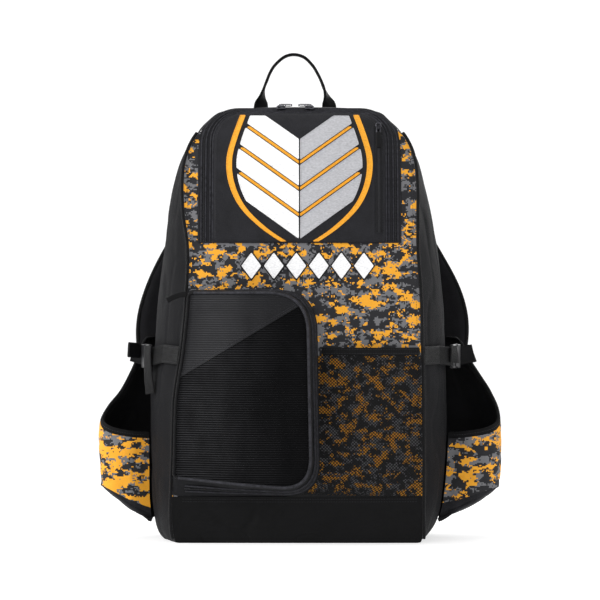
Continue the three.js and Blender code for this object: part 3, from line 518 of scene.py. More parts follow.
def flat_places(points):
    """Places in the flat cloth of a grid of points, from the lengths along its rows and columns."""
    step_u = np.linalg.norm(np.diff(points, axis=1), axis=-1)
    step_v = np.linalg.norm(np.diff(points, axis=0), axis=-1)
    u = np.concatenate([np.zeros((len(points), 1)), np.cumsum(step_u, axis=1)], 1)
    u -= u[:, u.shape[1] // 2][:, None]
    v = np.concatenate([np.zeros((1, points.shape[1])), np.cumsum(step_v, axis=0)], 0)
    v = np.repeat(v[:, v.shape[1] // 2][:, None], points.shape[1], axis=1)
    inside = np.minimum.reduce([
        np.cumsum(np.pad(step_u, ((0, 0), (1, 0))), 1),
        np.cumsum(np.pad(step_u, ((0, 0), (1, 0)))[:, ::-1], 1)[:, ::-1],
        np.cumsum(np.pad(step_v, ((1, 0), (0, 0))), 0),
        np.cumsum(np.pad(step_v, ((1, 0), (0, 0)))[::-1], 0)[::-1],
    ])
    return np.stack([u, v, inside], axis=-1)


def cloth_sheet(face, count_u, count_v, thickness, out, relief=None, places=flat_places):
    """A sheet of cloth: its face is a function of two shares, and relief lifts it along its normal."""
    u, v = np.meshgrid(np.linspace(0, 1, count_u + 1), np.linspace(0, 1, count_v + 1))
    base = face(u, v)
    normal = grid_normals(base, out)
    outer = base + normal * relief(u, v, base)[..., None] if relief else base
    return two_layers(outer, outer - normal * thickness, places(base))


def sweep(path, across, profile, loop=False):
    """A profile of (across, off) pairs, or one for each point, swept along a path."""
    path = np.asarray(path, float)
    if loop:
        along = unit(np.roll(path, -1, 0) - np.roll(path, 1, 0))
    else:
        along = unit(np.gradient(path, axis=0))
    across = np.broadcast_to(np.asarray(across, float), path.shape)
    wide = unit(across - np.sum(across * along, -1, keepdims=True) * along)
    thick = np.cross(along, wide)
    profile = np.asarray(profile, float)
    profile = np.broadcast_to(profile, (len(path),) + profile.shape[-2:])
    points = path[:, None] + wide[:, None] * profile[..., :1] + thick[:, None] * profile[..., 1:]
    count, sides = points.shape[:2]
    rounds = np.concatenate([points, points[:1]]) if loop else points
    faces = (grid_quads(len(rounds), sides, True) % (count * sides)).tolist()
    if not loop:
        faces += caps(count, sides)
    lengths = np.concatenate([[0], np.cumsum(np.linalg.norm(np.diff(path, axis=0), axis=1))])
    cloth = np.stack([
        profile[..., 0],
        np.broadcast_to(lengths[:, None], (count, sides)),
        np.abs(profile[..., 0]).max(axis=1)[:, None] - np.abs(profile[..., 0]),
    ], axis=-1)
    return points.reshape(-1, 3), faces, cloth.reshape(-1, 3)


def circle(radius, sides=8, flat=1.0):
    angle = 2 * np.pi * (np.arange(sides) + 0.5) / sides
    return np.stack([radius * np.cos(angle), radius * flat * np.sin(angle)], 1)


def strap_profile(width, thickness):
    """The section of a woven strap, with rounded edges."""
    w, t = width / 2, thickness / 2
    r = t * 0.8
    top = [(w - r * 0.3, t * 0.55), (w - r, t * 0.95)]
    inner = [(w * s, t) for s in (0.7, 0.35, 0, -0.35, -0.7)]
    upper = [(w, 0)] + top + inner + [(-x, y) for x, y in reversed(top)]
    return np.array(upper + [(-x, -y) for x, y in upper])


def resample(path, spacing, loop=False):
    """Points at equal distances along a path."""
    path = np.asarray(path, float)
    if loop:
        path = np.concatenate([path, path[:1]])
    lengths = np.concatenate([[0], np.cumsum(np.linalg.norm(np.diff(path, axis=0), axis=1))])
    count = max(2, int(round(lengths[-1] / spacing)) + 1)
    at = np.linspace(0, lengths[-1], count + 1 if loop else count)[:count]
    return np.stack([np.interp(at, lengths, path[:, k]) for k in range(3)], 1)


def beads(runs, pitch, length, radius, flat=1.0, across=False, sides=5):
    """Short rounded threads or teeth in a row. Each run is a path and the way out of the cloth."""
    parts = []
    for path, outward in runs:
        centre = resample(path, pitch)
        along = unit(np.gradient(centre, axis=0))
        outward = np.broadcast_to(np.asarray(outward, float), centre.shape)
        side = unit(np.cross(along, outward))
        lift = np.cross(side, along)
        axis, other = (side, along) if across else (along, side)
        rings = []
        for place, size in ((-0.5, 0.35), (-0.3, 1), (0.3, 1), (0.5, 0.35)):
            for first, second in circle(radius, sides, flat):
                rings.append(centre + axis * place * length + (other * first + lift * second) * size)
        points = np.stack(rings, 1)
        count = points.shape[1]
        one = turned_out(points[0], grid_quads(4, sides, True).tolist() + caps(4, sides))
        faces = [[k * count + v for v in face] for k in range(len(points)) for face in one]
        flat_points = points.reshape(-1, 3)
        parts.append((flat_points, faces, np.zeros_like(flat_points)))
    return joined(parts)


def prism(*outlines):
    """Straight blocks through the whole depth of the bag, with outlines of X and Z, as one object."""
    points, faces, start = [], [], 0
    for outline in outlines:
        outline = np.asarray(outline, float)
        count = len(outline)
        block = np.concatenate([stack(outline[:, 0], y, outline[:, 1]) for y in (-THROUGH, THROUGH)])
        walls = [[(k + 1) % count, k, count + k, count + (k + 1) % count] for k in range(count)]
        ends = [list(range(count)), [count + k for k in reversed(range(count))]]
        points.append(block)
        faces += [[start + k for k in face] for face in turned_out(block, ends + walls)]
        start += len(block)
    mesh = bpy.data.meshes.new("cutter")
    mesh.from_pydata((np.concatenate(points) * MM).tolist(), [], faces)
    cutter = bpy.data.objects.new("cutter", mesh)
    scene.collection.objects.link(cutter)
    return cutter


def bake(made, places=None, sharp=SHARP):
    """Replaces a piece's mesh by what its modifiers make of it."""
    depsgraph = bpy.context.evaluated_depsgraph_get()
    mesh = bpy.data.meshes.new_from_object(made.evaluated_get(depsgraph), depsgraph=depsgraph)
    made.modifiers.clear()
    old, made.data = made.data, mesh
    bpy.data.meshes.remove(old)
    mesh.polygons.foreach_set("use_smooth", [True] * len(mesh.polygons))
    mesh.set_sharp_from_angle(angle=math.radians(sharp))
    if places:
        points = np.empty(len(mesh.vertices) * 3, np.float32)
        mesh.vertices.foreach_get("co", points)
        if "cloth" in mesh.attributes:
            mesh.attributes.remove(mesh.attributes["cloth"])
        set_cloth(mesh, places(points.reshape(-1, 3).astype(float) / MM))
    return made


def cut(made, *steps):
    """Keeps or takes away what lies in outlines of X and Z. A step is an operation and its outlines."""
    cutters = []
    for operation, *outlines in steps:
        cutter = prism(*outlines)
        cutters.append(cutter)
        modifier = made.modifiers.new("cut", "BOOLEAN")
        modifier.operation = operation
        modifier.solver = "MANIFOLD"
        modifier.object = cutter
    bpy.context.view_layer.update()
    bake(made, front_places)
    for cutter in cutters:
        mesh = cutter.data
        bpy.data.objects.remove(cutter)
        bpy.data.meshes.remove(mesh)


def front_places(points):
    """Cloth that lies on the front: its places are X and Z."""
    return np.stack([points[..., 0], points[..., 2], np.full(points.shape[:-1], DEEP_IN_CLOTH)], axis=-1)


# Materials


def colour(tone, share=1.0):
    """A screen colour, or a share of it, as the shader's linear values."""
    level = np.minimum(np.array(tone, float) * share, 255) / 255
    linear = np.where(level <= 0.04045, level / 12.92, ((level + 0.055) / 1.055) ** 2.4)
    return (*map(float, linear), 1.0)


class Shader:
    """A material's nodes, made one call at a time."""

    def __init__(self, name, roughness=0.7, **settings):
        self.material = bpy.data.materials.new(name)
        self.material.use_nodes = True
        self.nodes = self.material.node_tree.nodes
        self.links = self.material.node_tree.links
        self.surface = self.nodes["Principled BSDF"]
        self.surface.inputs["Roughness"].default_value = roughness
        for key, value in settings.items():
            self.surface.inputs[key.replace("_", " ")].default_value = value

    def feed(self, socket, value):
        if isinstance(value, bpy.types.NodeSocket):
            self.links.new(value, socket)
        elif value is not None:
            socket.default_value = value

    def node(self, kind, inputs=(), output=0, **settings):
        node = self.nodes.new("ShaderNode" + kind)
        for key, value in settings.items():
            setattr(node, key, value)
        for key, value in dict(inputs).items():
            self.feed(node.inputs[key], value)
        return node.outputs[output]

    def math(self, operation, *values):
        return self.node("Math", dict(enumerate(values)), operation=operation)

    def vector(self, operation, a, b=None):
        key = 3 if operation == "SCALE" else 1
        return self.node("VectorMath", {0: a, key: b}, operation=operation)

    def cloth(self):
        """Places in the flat cloth, in millimetres: X and Y along it and Z in from its edge."""
        return self.node("Attribute", attribute_name="cloth", output=1)

    def place(self):
        """Places on the bag, in millimetres."""
        return self.vector("SCALE", self.node("TexCoord", output=3), 1 / MM)

    def split(self, vector):
        node = self.nodes.new("ShaderNodeSeparateXYZ")
        self.feed(node.inputs[0], vector)
        return node.outputs[0], node.outputs[1], node.outputs[2]

    def noise(self, vector, size, detail=2.0, roughness=0.5):
        """Noise from 0 to 1 with features of that size, one number or one for each axis."""
        size = (size, size, size) if isinstance(size, (int, float)) else size
        scaled = self.vector("MULTIPLY", vector, tuple(1 / s for s in size))
        inputs = {"Vector": scaled, "Scale": 1.0, "Detail": detail, "Roughness": roughness}
        return self.node("TexNoise", inputs)

    def remap(self, value, low, high, to_low=0.0, to_high=1.0):
        return self.node("MapRange", {0: value, 1: low, 2: high, 3: to_low, 4: to_high})

    def usual(self, noise, to_low=0.0, to_high=1.0):
        """A noise's usual range from 0.3 to 0.7 as another range."""
        return self.remap(noise, 0.3, 0.7, to_low, to_high)

    def mix(self, factor, a, b):
        return self.node("Mix", {0: factor, 6: a, 7: b}, output=2, data_type="RGBA")

    def wave(self, value, pitch):
        """A wave from -1 to 1 along a value."""
        return self.math("SINE", self.math("MULTIPLY", value, 2 * math.pi / pitch))

    def bump(self, height, distance, strength=1.0, normal=None):
        inputs = {"Height": height, "Distance": distance * MM, "Strength": strength, "Normal": normal}
        return self.node("Bump", inputs)

    def finish(self, base=None, roughness=None, normal=None):
        self.feed(self.surface.inputs["Base Color"], base)
        self.feed(self.surface.inputs["Roughness"], roughness)
        self.feed(self.surface.inputs["Normal"], normal)
        return self.material


def weave_height(shader, cloth, pitch):
    """Plain weave: threads over and under each other."""
    x, y, _ = shader.split(cloth)
    return shader.math("MULTIPLY", shader.wave(x, pitch), shader.wave(y, pitch))


def worn(shader, cloth, base, light, reach=1.6, amount=0.35):
    """Lighter threads where an edge rubs."""
    _, _, inside = shader.split(cloth)
    edge = shader.remap(inside, 0.0, reach, amount, 0.0)
    patchy = shader.remap(shader.noise(cloth, 5.0, 3.0), 0.35, 0.65)
    return shader.mix(shader.math("MULTIPLY", edge, patchy), base, light)


def cloth_material(
    name, tone, pitch=1.1, roughness=0.72, spread=0.16, sheen=0.05, bump=0.35, gloss=0.16, ribs=None
):
    """Woven nylon: threads, a mottled tone, soft sheen and worn edges.

    Ribs are their bump strength, the tone of a painted highlight on their crests and the two X between
    which that painted highlight fades.
    """
    shader = Shader(name, Sheen_Weight=sheen, Sheen_Roughness=0.45, Specular_IOR_Level=gloss)
    cloth = shader.cloth()
    dark, light = colour(tone, 1 - spread), colour(tone, 1 + spread)
    mottle = shader.noise(cloth, 26.0, 4.0, 0.6)
    speck = shader.noise(cloth, (1.4, 1.1, 9.0), 1.0)
    share = shader.math("ADD", shader.math("MULTIPLY", mottle, 0.55), shader.math("MULTIPLY", speck, 0.45))
    base = worn(shader, cloth, shader.mix(shader.usual(share), dark, light), colour(tone, 1.9))
    rough = shader.usual(mottle, roughness - 0.06, roughness + 0.06)
    normal = shader.bump(shader.noise(cloth, 7.0, 3.0), 0.5, 0.35)
    normal = shader.bump(weave_height(shader, cloth, pitch), 0.12, bump, normal)
    if ribs:
        # Ribs get a bump and a painted highlight along their crests. It fades across X and is dimmed in
        # broad patches of painted shade.
        strength, highlight_tone, *highlight_fade = ribs
        x, y, _ = shader.split(cloth)
        wave = shader.wave(y, RIB_PITCH)
        painted_shade_patches = shader.remap(shader.noise(cloth, 38.0, 3.0), 0.3, 0.62, 0.35, 1.0)
        share = shader.math("MULTIPLY", shader.remap(wave, -0.3, 0.9), painted_shade_patches)
        share = shader.math("MULTIPLY", share, shader.remap(x, *highlight_fade, 1.0, 0.15))
        base = shader.mix(share, base, colour((highlight_tone, highlight_tone, highlight_tone + 2)))
        normal = shader.bump(wave, 0.3, strength, normal)
    return shader.finish(base, rough, normal)


CAMOUFLAGE_TONES = ((240, 168, 48), (112, 112, 115), (38, 38, 41))
GREY_FROM = 0.515


def camouflage_material(name, shade=1.0, seed=0.0, size=(17.5, 12.5, 50.0), orange_from=0.55):
    """Camouflage in square cells on woven cloth: orange, grey and near black."""
    shader = Shader(name, Sheen_Weight=0.04, Sheen_Roughness=0.5, Specular_IOR_Level=0.2)
    cloth = shader.cloth()
    flat = shader.vector("MULTIPLY", cloth, (1.0, 1.0, 0.0))
    square = shader.vector("SNAP", flat, (CAMOUFLAGE_CELL, CAMOUFLAGE_CELL, 1.0))
    square = shader.vector("ADD", square, (311.0 + seed, 97.0 - seed, 40.0))
    first = shader.noise(square, size, 4.0, 0.74)
    second = shader.noise(shader.vector("ADD", square, (900.0, 400.0, 7.0)), size, 4.0, 0.74)
    orange, grey, black = (colour(tone, shade) for tone in CAMOUFLAGE_TONES)
    base = shader.mix(shader.math("GREATER_THAN", second, GREY_FROM), black, grey)
    base = shader.mix(shader.math("GREATER_THAN", first, orange_from), base, orange)
    speck = shader.noise(cloth, (1.0, 0.8, 9.0), 2.0)
    base = shader.mix(shader.remap(speck, 0.25, 0.75, 0.16, 0.0), base, (0.004, 0.004, 0.005, 1))
    normal = shader.bump(shader.noise(cloth, 6.0, 3.0), 0.4, 0.3)
    normal = shader.bump(weave_height(shader, cloth, 0.9), 0.1, 0.3, normal)
    rough = shader.usual(shader.noise(cloth, 18.0, 2.0), 0.66, 0.78)
    return shader.finish(base, rough, normal)


def webbing_material(name, tone, pitch=1.5, roughness=0.62):
    """Woven strap: slanting threads that meet in rows, with a tight edge."""
    shader = Shader(name, Sheen_Weight=0.03, Sheen_Roughness=0.4, Specular_IOR_Level=0.11)
    cloth = shader.cloth()
    x, y, _ = shader.split(cloth)
    zigzag = shader.math("PINGPONG", x, 2.1)
    threads = shader.wave(shader.math("ADD", y, zigzag), pitch)
    mottle = shader.noise(cloth, (5.0, 14.0, 9.0), 3.0)
    base = shader.mix(shader.usual(mottle), colour(tone, 0.82), colour(tone, 1.2))
    base = shader.mix(shader.remap(threads, -1.0, 1.0, 0.0, 0.35), base, colour(tone, 1.7))
    base = worn(shader, cloth, base, colour(tone, 2.2), 0.9, 0.5)
    normal = shader.bump(shader.wave(x, 2.1), 0.12, 0.4)
    normal = shader.bump(threads, 0.2, 0.5, normal)
    return shader.finish(base, shader.usual(mottle, roughness - 0.06, roughness + 0.08), normal)


def thread_material(name, tone, pitch=0.5, shadow=0.14):
    """Twisted or embroidered thread."""
    shader = Shader(name, Sheen_Weight=0.05, Sheen_Roughness=0.35, Specular_IOR_Level=0.2)
    place = shader.place()
    x, _, z = shader.split(place)
    strands = shader.wave(shader.math("ADD", z, shader.math("MULTIPLY", x, 0.4)), pitch)
    mottle = shader.noise(place, (3.0, 3.0, 1.0), 3.0)
    base = shader.mix(shader.usual(mottle), colour(tone, 0.9), colour(tone, 1.06))
    base = shader.mix(shader.remap(strands, -1.0, 1.0, shadow, 0.0), base, colour(tone, 0.5))
    return shader.finish(base, shader.usual(mottle, 0.5, 0.62), shader.bump(strands, 0.12, 0.4))


def plastic_material(name, tone):
    """Moulded plastic: a fine grain, rubbed in places."""
    shader = Shader(name, Specular_IOR_Level=0.5)
    place = shader.place()
    rubbed = shader.noise(place, 9.0, 4.0, 0.6)
    base = shader.mix(shader.remap(rubbed, 0.35, 0.7), colour(tone), colour(tone, 1.35))
    normal = shader.bump(shader.noise(place, 0.5, 2.0), 0.05, 0.25)
    return shader.finish(base, shader.usual(rubbed, 0.3, 0.46), normal)


def metal_material(name, tone):
    """Dark plated metal with fine scratches."""
    shader = Shader(name, Metallic=1.0)
    place = shader.place()
    scratch = shader.noise(place, (0.25, 0.25, 6.0), 3.0, 0.6)
    base = shader.mix(shader.usual(shader.noise(place, 4.0, 3.0)), colour(tone, 0.75), colour(tone, 1.1))
    return shader.finish(base, shader.usual(scratch, 0.26, 0.42), shader.bump(scratch, 0.04, 0.3))


CAMOUFLAGE = camouflage_material("camouflage_print")
SIDE_CAMOUFLAGE = {
    # The left copy is painted 3 % lighter than the right one, as painted light falling from the left.
    -1: camouflage_material("side_camouflage_print", 1.03, 160.0, (28.0, 15.0, 50.0), 0.497),
    1: camouflage_material("right_side_camouflage_print", 1.0, 410.0, (24.0, 15.0, 50.0), 0.535),
}
BLACK = cloth_material("black_nylon", (35, 35, 38), spread=0.22, sheen=0.04, gloss=0.1)
# Black nylon for the foot band, painted much darker than the rest as painted shade, since the band faces
# down and gets less light.
BAND_NYLON_PAINTED_DARK = cloth_material("foot_band_nylon_painted_dark", (10, 10, 11), roughness=0.55, spread=0.45, sheen=0.02, gloss=0.1)
GREY = cloth_material("dark_grey_nylon", (21, 21, 23), pitch=0.9, roughness=0.7, sheen=0.02, gloss=0.04)
POCKET = cloth_material("box_pocket_nylon", (24, 24, 26), roughness=0.6, sheen=0.02, gloss=0.1)
# Both cloths of the box pocket carry a painted highlight along their ribs that fades from left to right.
POCKET_TOP = cloth_material(
    "box_pocket_top_nylon", (29, 29, 31), roughness=0.6, sheen=0.02, gloss=0.08,
    ribs=(0.3, 52, -100.0, -25.0),
)
RIBBED = cloth_material(
    "ribbed_mesh", (5, 5, 6), 1.5, roughness=0.6, spread=0.25, sheen=0.01, bump=0.6, gloss=0.05,
    ribs=(0.45, 46, -118.0, -20.0),
)
LINING = cloth_material("pocket_lining", (22, 22, 24), pitch=0.8, roughness=0.8, sheen=0.02)
PADDING = cloth_material(
    "padded_mesh", (19, 19, 21), pitch=2.2, roughness=0.8, spread=0.3, sheen=0.02, bump=0.9, gloss=0.06
)

WEB = webbing_material("woven_webbing", (10, 10, 11))
BINDING = webbing_material("woven_binding", (14, 14, 15), pitch=1.1)
PIPING = webbing_material("piping_cloth", (30, 30, 33), pitch=0.9, roughness=0.5)
SEAM_PIPING = webbing_material("seam_piping_cloth", (13, 13, 14), pitch=0.9, roughness=0.55)
DOOR_PIPING = webbing_material("pocket_piping_cloth", (32, 32, 35), pitch=0.9, roughness=0.5)
TAPE = webbing_material("zip_tape", (26, 26, 28), pitch=0.8)

NET = thread_material("net_thread", (12, 12, 13))
COIL = thread_material("zip_coil", (44, 44, 47), pitch=0.3)
SEWING = thread_material("sewing_thread", (50, 50, 54))
WHITE = thread_material("white_embroidery", (246, 246, 248), pitch=1.3, shadow=0.05)
SILVER = thread_material("grey_embroidery", (180, 180, 184), pitch=1.3, shadow=0.05)
ORANGE = thread_material("orange_embroidery", (242, 168, 48), pitch=1.3, shadow=0.06)
DARK = thread_material("dark_embroidery", (24, 24, 26), pitch=0.7)
PLASTIC = plastic_material("moulded_plastic", (26, 26, 28))
METAL = metal_material("plated_metal", (78, 78, 83))


# Body


def hollows(point, depth, size, seed, crease=0.5):
    """Soft dents and a few creases. They go inwards more than out."""
    broad = folds(point, size, seed)
    valley = creases(point, np.asarray(size) * 0.55, seed + 9)
    return depth * (np.minimum(broad, 0.35) - 0.35 + crease * valley)


def side_relief(side):
    """Dents in a side panel, puckers by its front seam and the pull of the compression strap."""

    def relief(u, v, point):
        z = point[..., 2]
        calm = border(u, 0.1, 0.06) * border(v, 0.04, 0.04)
        dents = hollows(point, 2.2, (70, 60, 120), 3 + side)
        pucker = 0.35 * np.sin(z / 2.6 + 2 * noise(point, 14, 5))
        pucker = pucker * (1 - smooth(u, 0, 0.07)) * smooth(u, 0, 0.02)
        pull = -1.5 * np.exp(-(((z - COMPRESSION_HEIGHT) / 17) ** 2)) * (1 - smooth(u, 0.2, 0.42))
        fan = folds(point, (26, 26, 9), 31 + side, 2) * np.exp(-(((z - COMPRESSION_HEIGHT) / 34) ** 2))
        fan = fan * border(u, 0.1, 0.5)
        return calm * (dents + 0.6 * fan - 0.4) + pucker + pull * border(u, 0.06, 0.1)

    return relief


def gusset_face(row_of, side_of):
    """The strip round the bag, from its front seam at 0 to its back seam at 1."""

    def face(u, v):
        row = row_of(v)
        left, right = gusset(row, u, -1), gusset(row, u, 1)
        return np.where((side_of(v) < 0)[..., None], left, right)

    return face


for side, word in SIDES.items():
    face = gusset_face(lambda v: lerp(CORNER_ROW, SHOULDER_ROW, v), lambda v: np.full(v.shape, side))
    shape = cloth_sheet(face, 58, 168, CLOTH, (side, 0, 0), side_relief(side))
    piece(f"side_cloth_{word}", shape, GREY, f"side_panel_{word}")

top_start = SHOULDER_ROW + SEAM_GAP / 20
face = gusset_face(
    lambda v: LAST_ROW - np.abs(2 * v - 1) * (LAST_ROW - top_start), lambda v: np.where(v < 0.5, -1, 1)
)


def top_relief(u, v, point):
    return border(u, 0.12, 0.1) * border(v, 0.03, 0.03) * hollows(point, 1.6, (60, 40, 60), 8)


shape = cloth_sheet(face, 36, 130, CLOTH, UP, top_relief)
piece("top_cloth", shape, GREY, "top_gusset")


def bottom_face(u, v):
    left, right = (
        np.minimum(*(np.abs(gusset(CORNER_ROW, v, side, lift)[..., 0]) for lift in (0, -CLOTH)))
        for side in (-1, 1)
    )
    edge = np.where(u < 0.5, left, right)
    x = (2 * u - 1) * (edge - 2 * SEAM_GAP)
    front = front_y(x, np.zeros_like(x)) + CLOTH + SEAM_GAP
    return stack(x, lerp(front, back_y(np.zeros_like(x)) - SEAM_GAP, v), 0)


def bottom_relief(u, v, point):
    """A stiff base cloth with small pits in rows."""
    pits = np.abs(np.sin(point[..., 0] / 6.5) * np.sin(point[..., 1] / 6.5))
    return -0.5 * border(u, 0.05, 0.05) * border(v, 0.05, 0.05) * smooth(pits, 0.1, 0.3)


shape = cloth_sheet(bottom_face, 64, 42, 3, (0, 0, -1), bottom_relief)
piece("bottom_cloth", shape, LINING, "bottom_panel")


def front_sheet(low_row, high_row):
    """The front from seam to seam, between two rows of the outline."""

    def face(u, v):
        row = lerp(low_row, high_row, v)
        z = BODY_HEIGHT * front_height(row)
        across = 2 * u - 1
        half = np.where(across < 0, half_at_row(row, -1), half_at_row(row, 1))
        x = across * half
        return stack(x, front_y(x, z), z)

    return face


BAND_CREASES = (
    (-1.5, (-74, 10), (-52, 52), 4.5),
    (1.0, (-64, 8), (-40, 50), 4),
    (-1.2, (-48, 8), (-20, 54), 5),
    (-0.9, (-128, 52), (-92, 22), 6),
    (-1.2, (60, 54), (118, 26), 7),
    (-0.9, (96, 12), (138, 40), 6),
    (-0.8, (8, 50), (36, 14), 7),
)


def band_relief(u, v, point):
    calm = border(u, 0.03, 0.03) * border(v, 0.12, 0.1)
    lines = crease_lines(point[..., 0], point[..., 2], BAND_CREASES)
    rise = 0.25 * border(v, 0.06, 0.04) * border(u, 0.02, 0.02)
    return calm * (1.5 * lines + hollows(point, 1.9, (55, 40, 26), 17)) + rise


face = front_sheet(row_at(SEAM_GAP), row_at(BAND_HEIGHT - SEAM_GAP / 2))
shape = cloth_sheet(face, 200, 48, CLOTH, FRONTWARD, band_relief)
piece("base_band_cloth", shape, BAND_NYLON_PAINTED_DARK, "base_band")


def arch(half, low, high, radius, steps=16):
    """An outline of X and Z with a straight foot and round upper corners."""
    angle = np.linspace(0, np.pi / 2, steps)
    right = np.stack([half - radius + radius * np.cos(angle), high - radius + radius * np.sin(angle)], 1)
    left = np.stack([radius - half - radius * np.sin(angle), high - radius + radius * np.cos(angle)], 1)
    return np.concatenate([[(-half, low), (half, low)], right, left])


def bezier(start, middle, end, steps=14):
    t = np.linspace(0, 1, steps)[:, None]
    start, middle, end = (np.array(p, float) for p in (start, middle, end))
    return (1 - t) ** 2 * start + 2 * t * (1 - t) * middle + t * t * end


def band_outline(grow):
    """The zip band's outer edge. Above its shoulders it runs out over the bag's outline."""
    half = FLAP_HALF + ZIP_BAND_WIDTH + grow
    high = BODY_HEIGHT - 4 + grow
    middle = BODY_HEIGHT - FLAP_CORNER / 2
    right = bezier((half, ZIP_BAND_SHOULDER), (half, middle), (half - ZIP_BAND_WIDTH, high))
    over = [(half - ZIP_BAND_WIDTH, 2 * BODY_HEIGHT), (ZIP_BAND_WIDTH - half, 2 * BODY_HEIGHT)]
    left = right[::-1] * (-1, 1)
    low = [(-half, FLAP_BOTTOM - grow), (half, FLAP_BOTTOM - grow)]
    return np.concatenate([low, right, over, left])


def panel_relief(u, v, point):
    """The camouflage cloth lies tight, and puckers a little along its seams."""
    x, z = point[..., 0], point[..., 2]
    calm = border(u, 0.03, 0.03) * border(v, 0.02, 0.01)
    seam = np.minimum(u, 1 - u) * 300
    pucker = 0.3 * np.sin(z / 3.1 + 2 * noise(point, 18, 4)) * np.exp(-seam / 9) * smooth(seam, 0, 3)
    return calm * hollows(point, 1.1, (60, 60, 44), 23, 0.4) + pucker


low_row = row_at(BAND_HEIGHT + SEAM_GAP / 2)
shape = cloth_sheet(front_sheet(low_row, CROWN_ROW), 120, 170, CLOTH, FRONTWARD, panel_relief)
panel = piece("front_cloth", shape, CAMOUFLAGE, "front_panel", sharp=0)
cut(panel, ("DIFFERENCE", band_outline(SEAM_GAP)))
centres = np.array([face.center for face in panel.data.polygons]) / MM
height = np.clip(centres[:, 2], 1, BODY_HEIGHT - 1)
limit = np.where(centres[:, 0] < 0, front_half(height, -1), front_half(height, 1)) - 0.6
second_material(panel, SEAM_PIPING, np.abs(centres[:, 0]) > limit)


def flap_depth(x, z):
    """How far inside the flap's outline a place is."""
    across = np.abs(x) - (FLAP_HALF - FLAP_CORNER)
    up = z - (FLAP_TOP - FLAP_CORNER)
    corner = np.hypot(np.maximum(across, 0), np.maximum(up, 0)) + np.minimum(np.maximum(across, up), 0)
    return np.minimum(FLAP_CORNER - corner, z - FLAP_BOTTOM)


flap_low_row = row_at(FLAP_BOTTOM - 8)


def zip_band_relief(u, v, point):
    """Ridges that follow the flap's outline."""
    outside = -flap_depth(point[..., 0], point[..., 2])
    ridge = 0.35 * np.cos(outside * 2 * np.pi / 5.6)
    return ZIP_BAND_RISE - 0.35 + ridge * border(u, 0.02, 0.02)


shape = cloth_sheet(
    front_sheet(flap_low_row, CROWN_ROW), 240, 96, CLOTH + ZIP_BAND_RISE, FRONTWARD, zip_band_relief
)
zip_band = piece("zip_band_cloth", shape, BLACK, "zip_band", sharp=0)
cut(
    zip_band,
    ("INTERSECT", band_outline(0)),
    ("DIFFERENCE", arch(FLAP_HALF + SEAM_GAP, 0, FLAP_TOP + SEAM_GAP, FLAP_CORNER)),
)


def flap_lift(x, z):
    """How far the flap's face stands off the front: full, with a rolled edge and soft quilting dents."""
    depth = flap_depth(x, z)
    roll = np.sqrt(np.clip(1 - (1 - np.clip(depth / 5, 0, 1)) ** 2, 0, 1))
    place = stack(x, 0, z)
    dents = np.minimum(folds(place, (80, 80, 60), 41), 0.4) - 0.4
    valley = creases(place, (50, 50, 38), 52)
    inside = smooth(depth, 4, 26)
    pucker = 0.3 * np.sin((x + z) / 3.0 + 2 * noise(place, 16, 6)) * np.exp(-((depth - 7) ** 2) / 18)
    beside = np.abs(x - FLAP_ZIP_X) - 6.2
    along = smooth(z, FLAP_ZIP_LOW - 6, FLAP_ZIP_LOW + 6)
    along = along * (1 - smooth(z, FLAP_ZIP_HIGH - 4, FLAP_ZIP_HIGH + 4))
    gather = 1 + 0.35 * np.sin(z / 4.2 + 3 * noise(place, 22, 8))
    placket = 0.9 * gather * along * np.exp(-((beside / 1.7) ** 2))
    return FLAP_RISE * roll + inside * (1.1 * dents + 0.5 * valley) + pucker + placket


def flap_y(x, z):
    return front_y(x, z) - flap_lift(x, z)


# The flap is solid down to the front, so its sheet starts with hardly any thickness
points, faces, cloth = cloth_sheet(front_sheet(flap_low_row, CROWN_ROW), 190, 126, 0.01, FRONTWARD)
count = len(points) // 2
outer, inner = points[:count].copy(), points[:count].copy()
outer[:, 1] = flap_y(outer[:, 0], outer[:, 2])
shape = np.concatenate([outer, inner]), faces, cloth
flap = piece("flap_cloth", shape, BLACK, "flap", sharp=0)
cut(flap, ("INTERSECT", arch(FLAP_HALF, FLAP_BOTTOM, FLAP_TOP, FLAP_CORNER)))


def on_front(outline, lift, spacing=2.0, loop=False, face=front_y):
    """A path of X and Z laid on the front, lifted off it."""
    outline = np.asarray(outline, float)
    path = resample(stack(outline[:, 0], 0, outline[:, 1]), spacing, loop=loop)
    return stack(path[:, 0], face(path[:, 0], path[:, 2]) - lift, path[:, 2])


def arch_path(beside, above, lift, radius):
    """A path round the flap's arch: so far beside it and so far above it."""
    outline = arch(FLAP_HALF + beside, FLAP_BOTTOM + 1, FLAP_TOP + above, radius)
    return on_front(np.roll(outline, -1, 0), lift)


# Ribs on both sides of the zip: how far beside and above the flap they run, and their radius
ZIP_RIBS = ((2.6, 1.4, 1.3), (8.4, 3.2, 1.2), (14.2, 5.0, 1.3))
trim = []
for beside, above, radius in ZIP_RIBS:
    path = arch_path(beside, above, ZIP_BAND_RISE + radius * 0.4, FLAP_CORNER + (beside + above) / 2)
    trim.append(sweep(path, FRONTWARD, circle(radius, 8)))
piece("zip_band_piping", joined(trim), PIPING, "zip_band", turn=False)
path = arch_path(11.2, 4.0, ZIP_BAND_RISE + 0.5, FLAP_CORNER + 7.6)
shape = beads([(path, FRONTWARD)], COIL_PITCH, 2.6, 0.75, across=True)
piece("zip_band_coil", shape, COIL, "zip_band", turn=False)

edge = arch_path(-0.6, -0.6, FLAP_RISE * 0.55, FLAP_CORNER)
piece("flap_piping", sweep(edge, FRONTWARD, circle(1.5, 8)), PIPING, "flap")
band_roll = on_front([(-HALF_FRONT + 1, BAND_HEIGHT - 0.1), (HALF_FRONT - 1, BAND_HEIGHT - 0.1)], 0.5)
piece("base_band_roll", sweep(band_roll, FRONTWARD, circle(1.15, 8)), BAND_NYLON_PAINTED_DARK, "base_band")


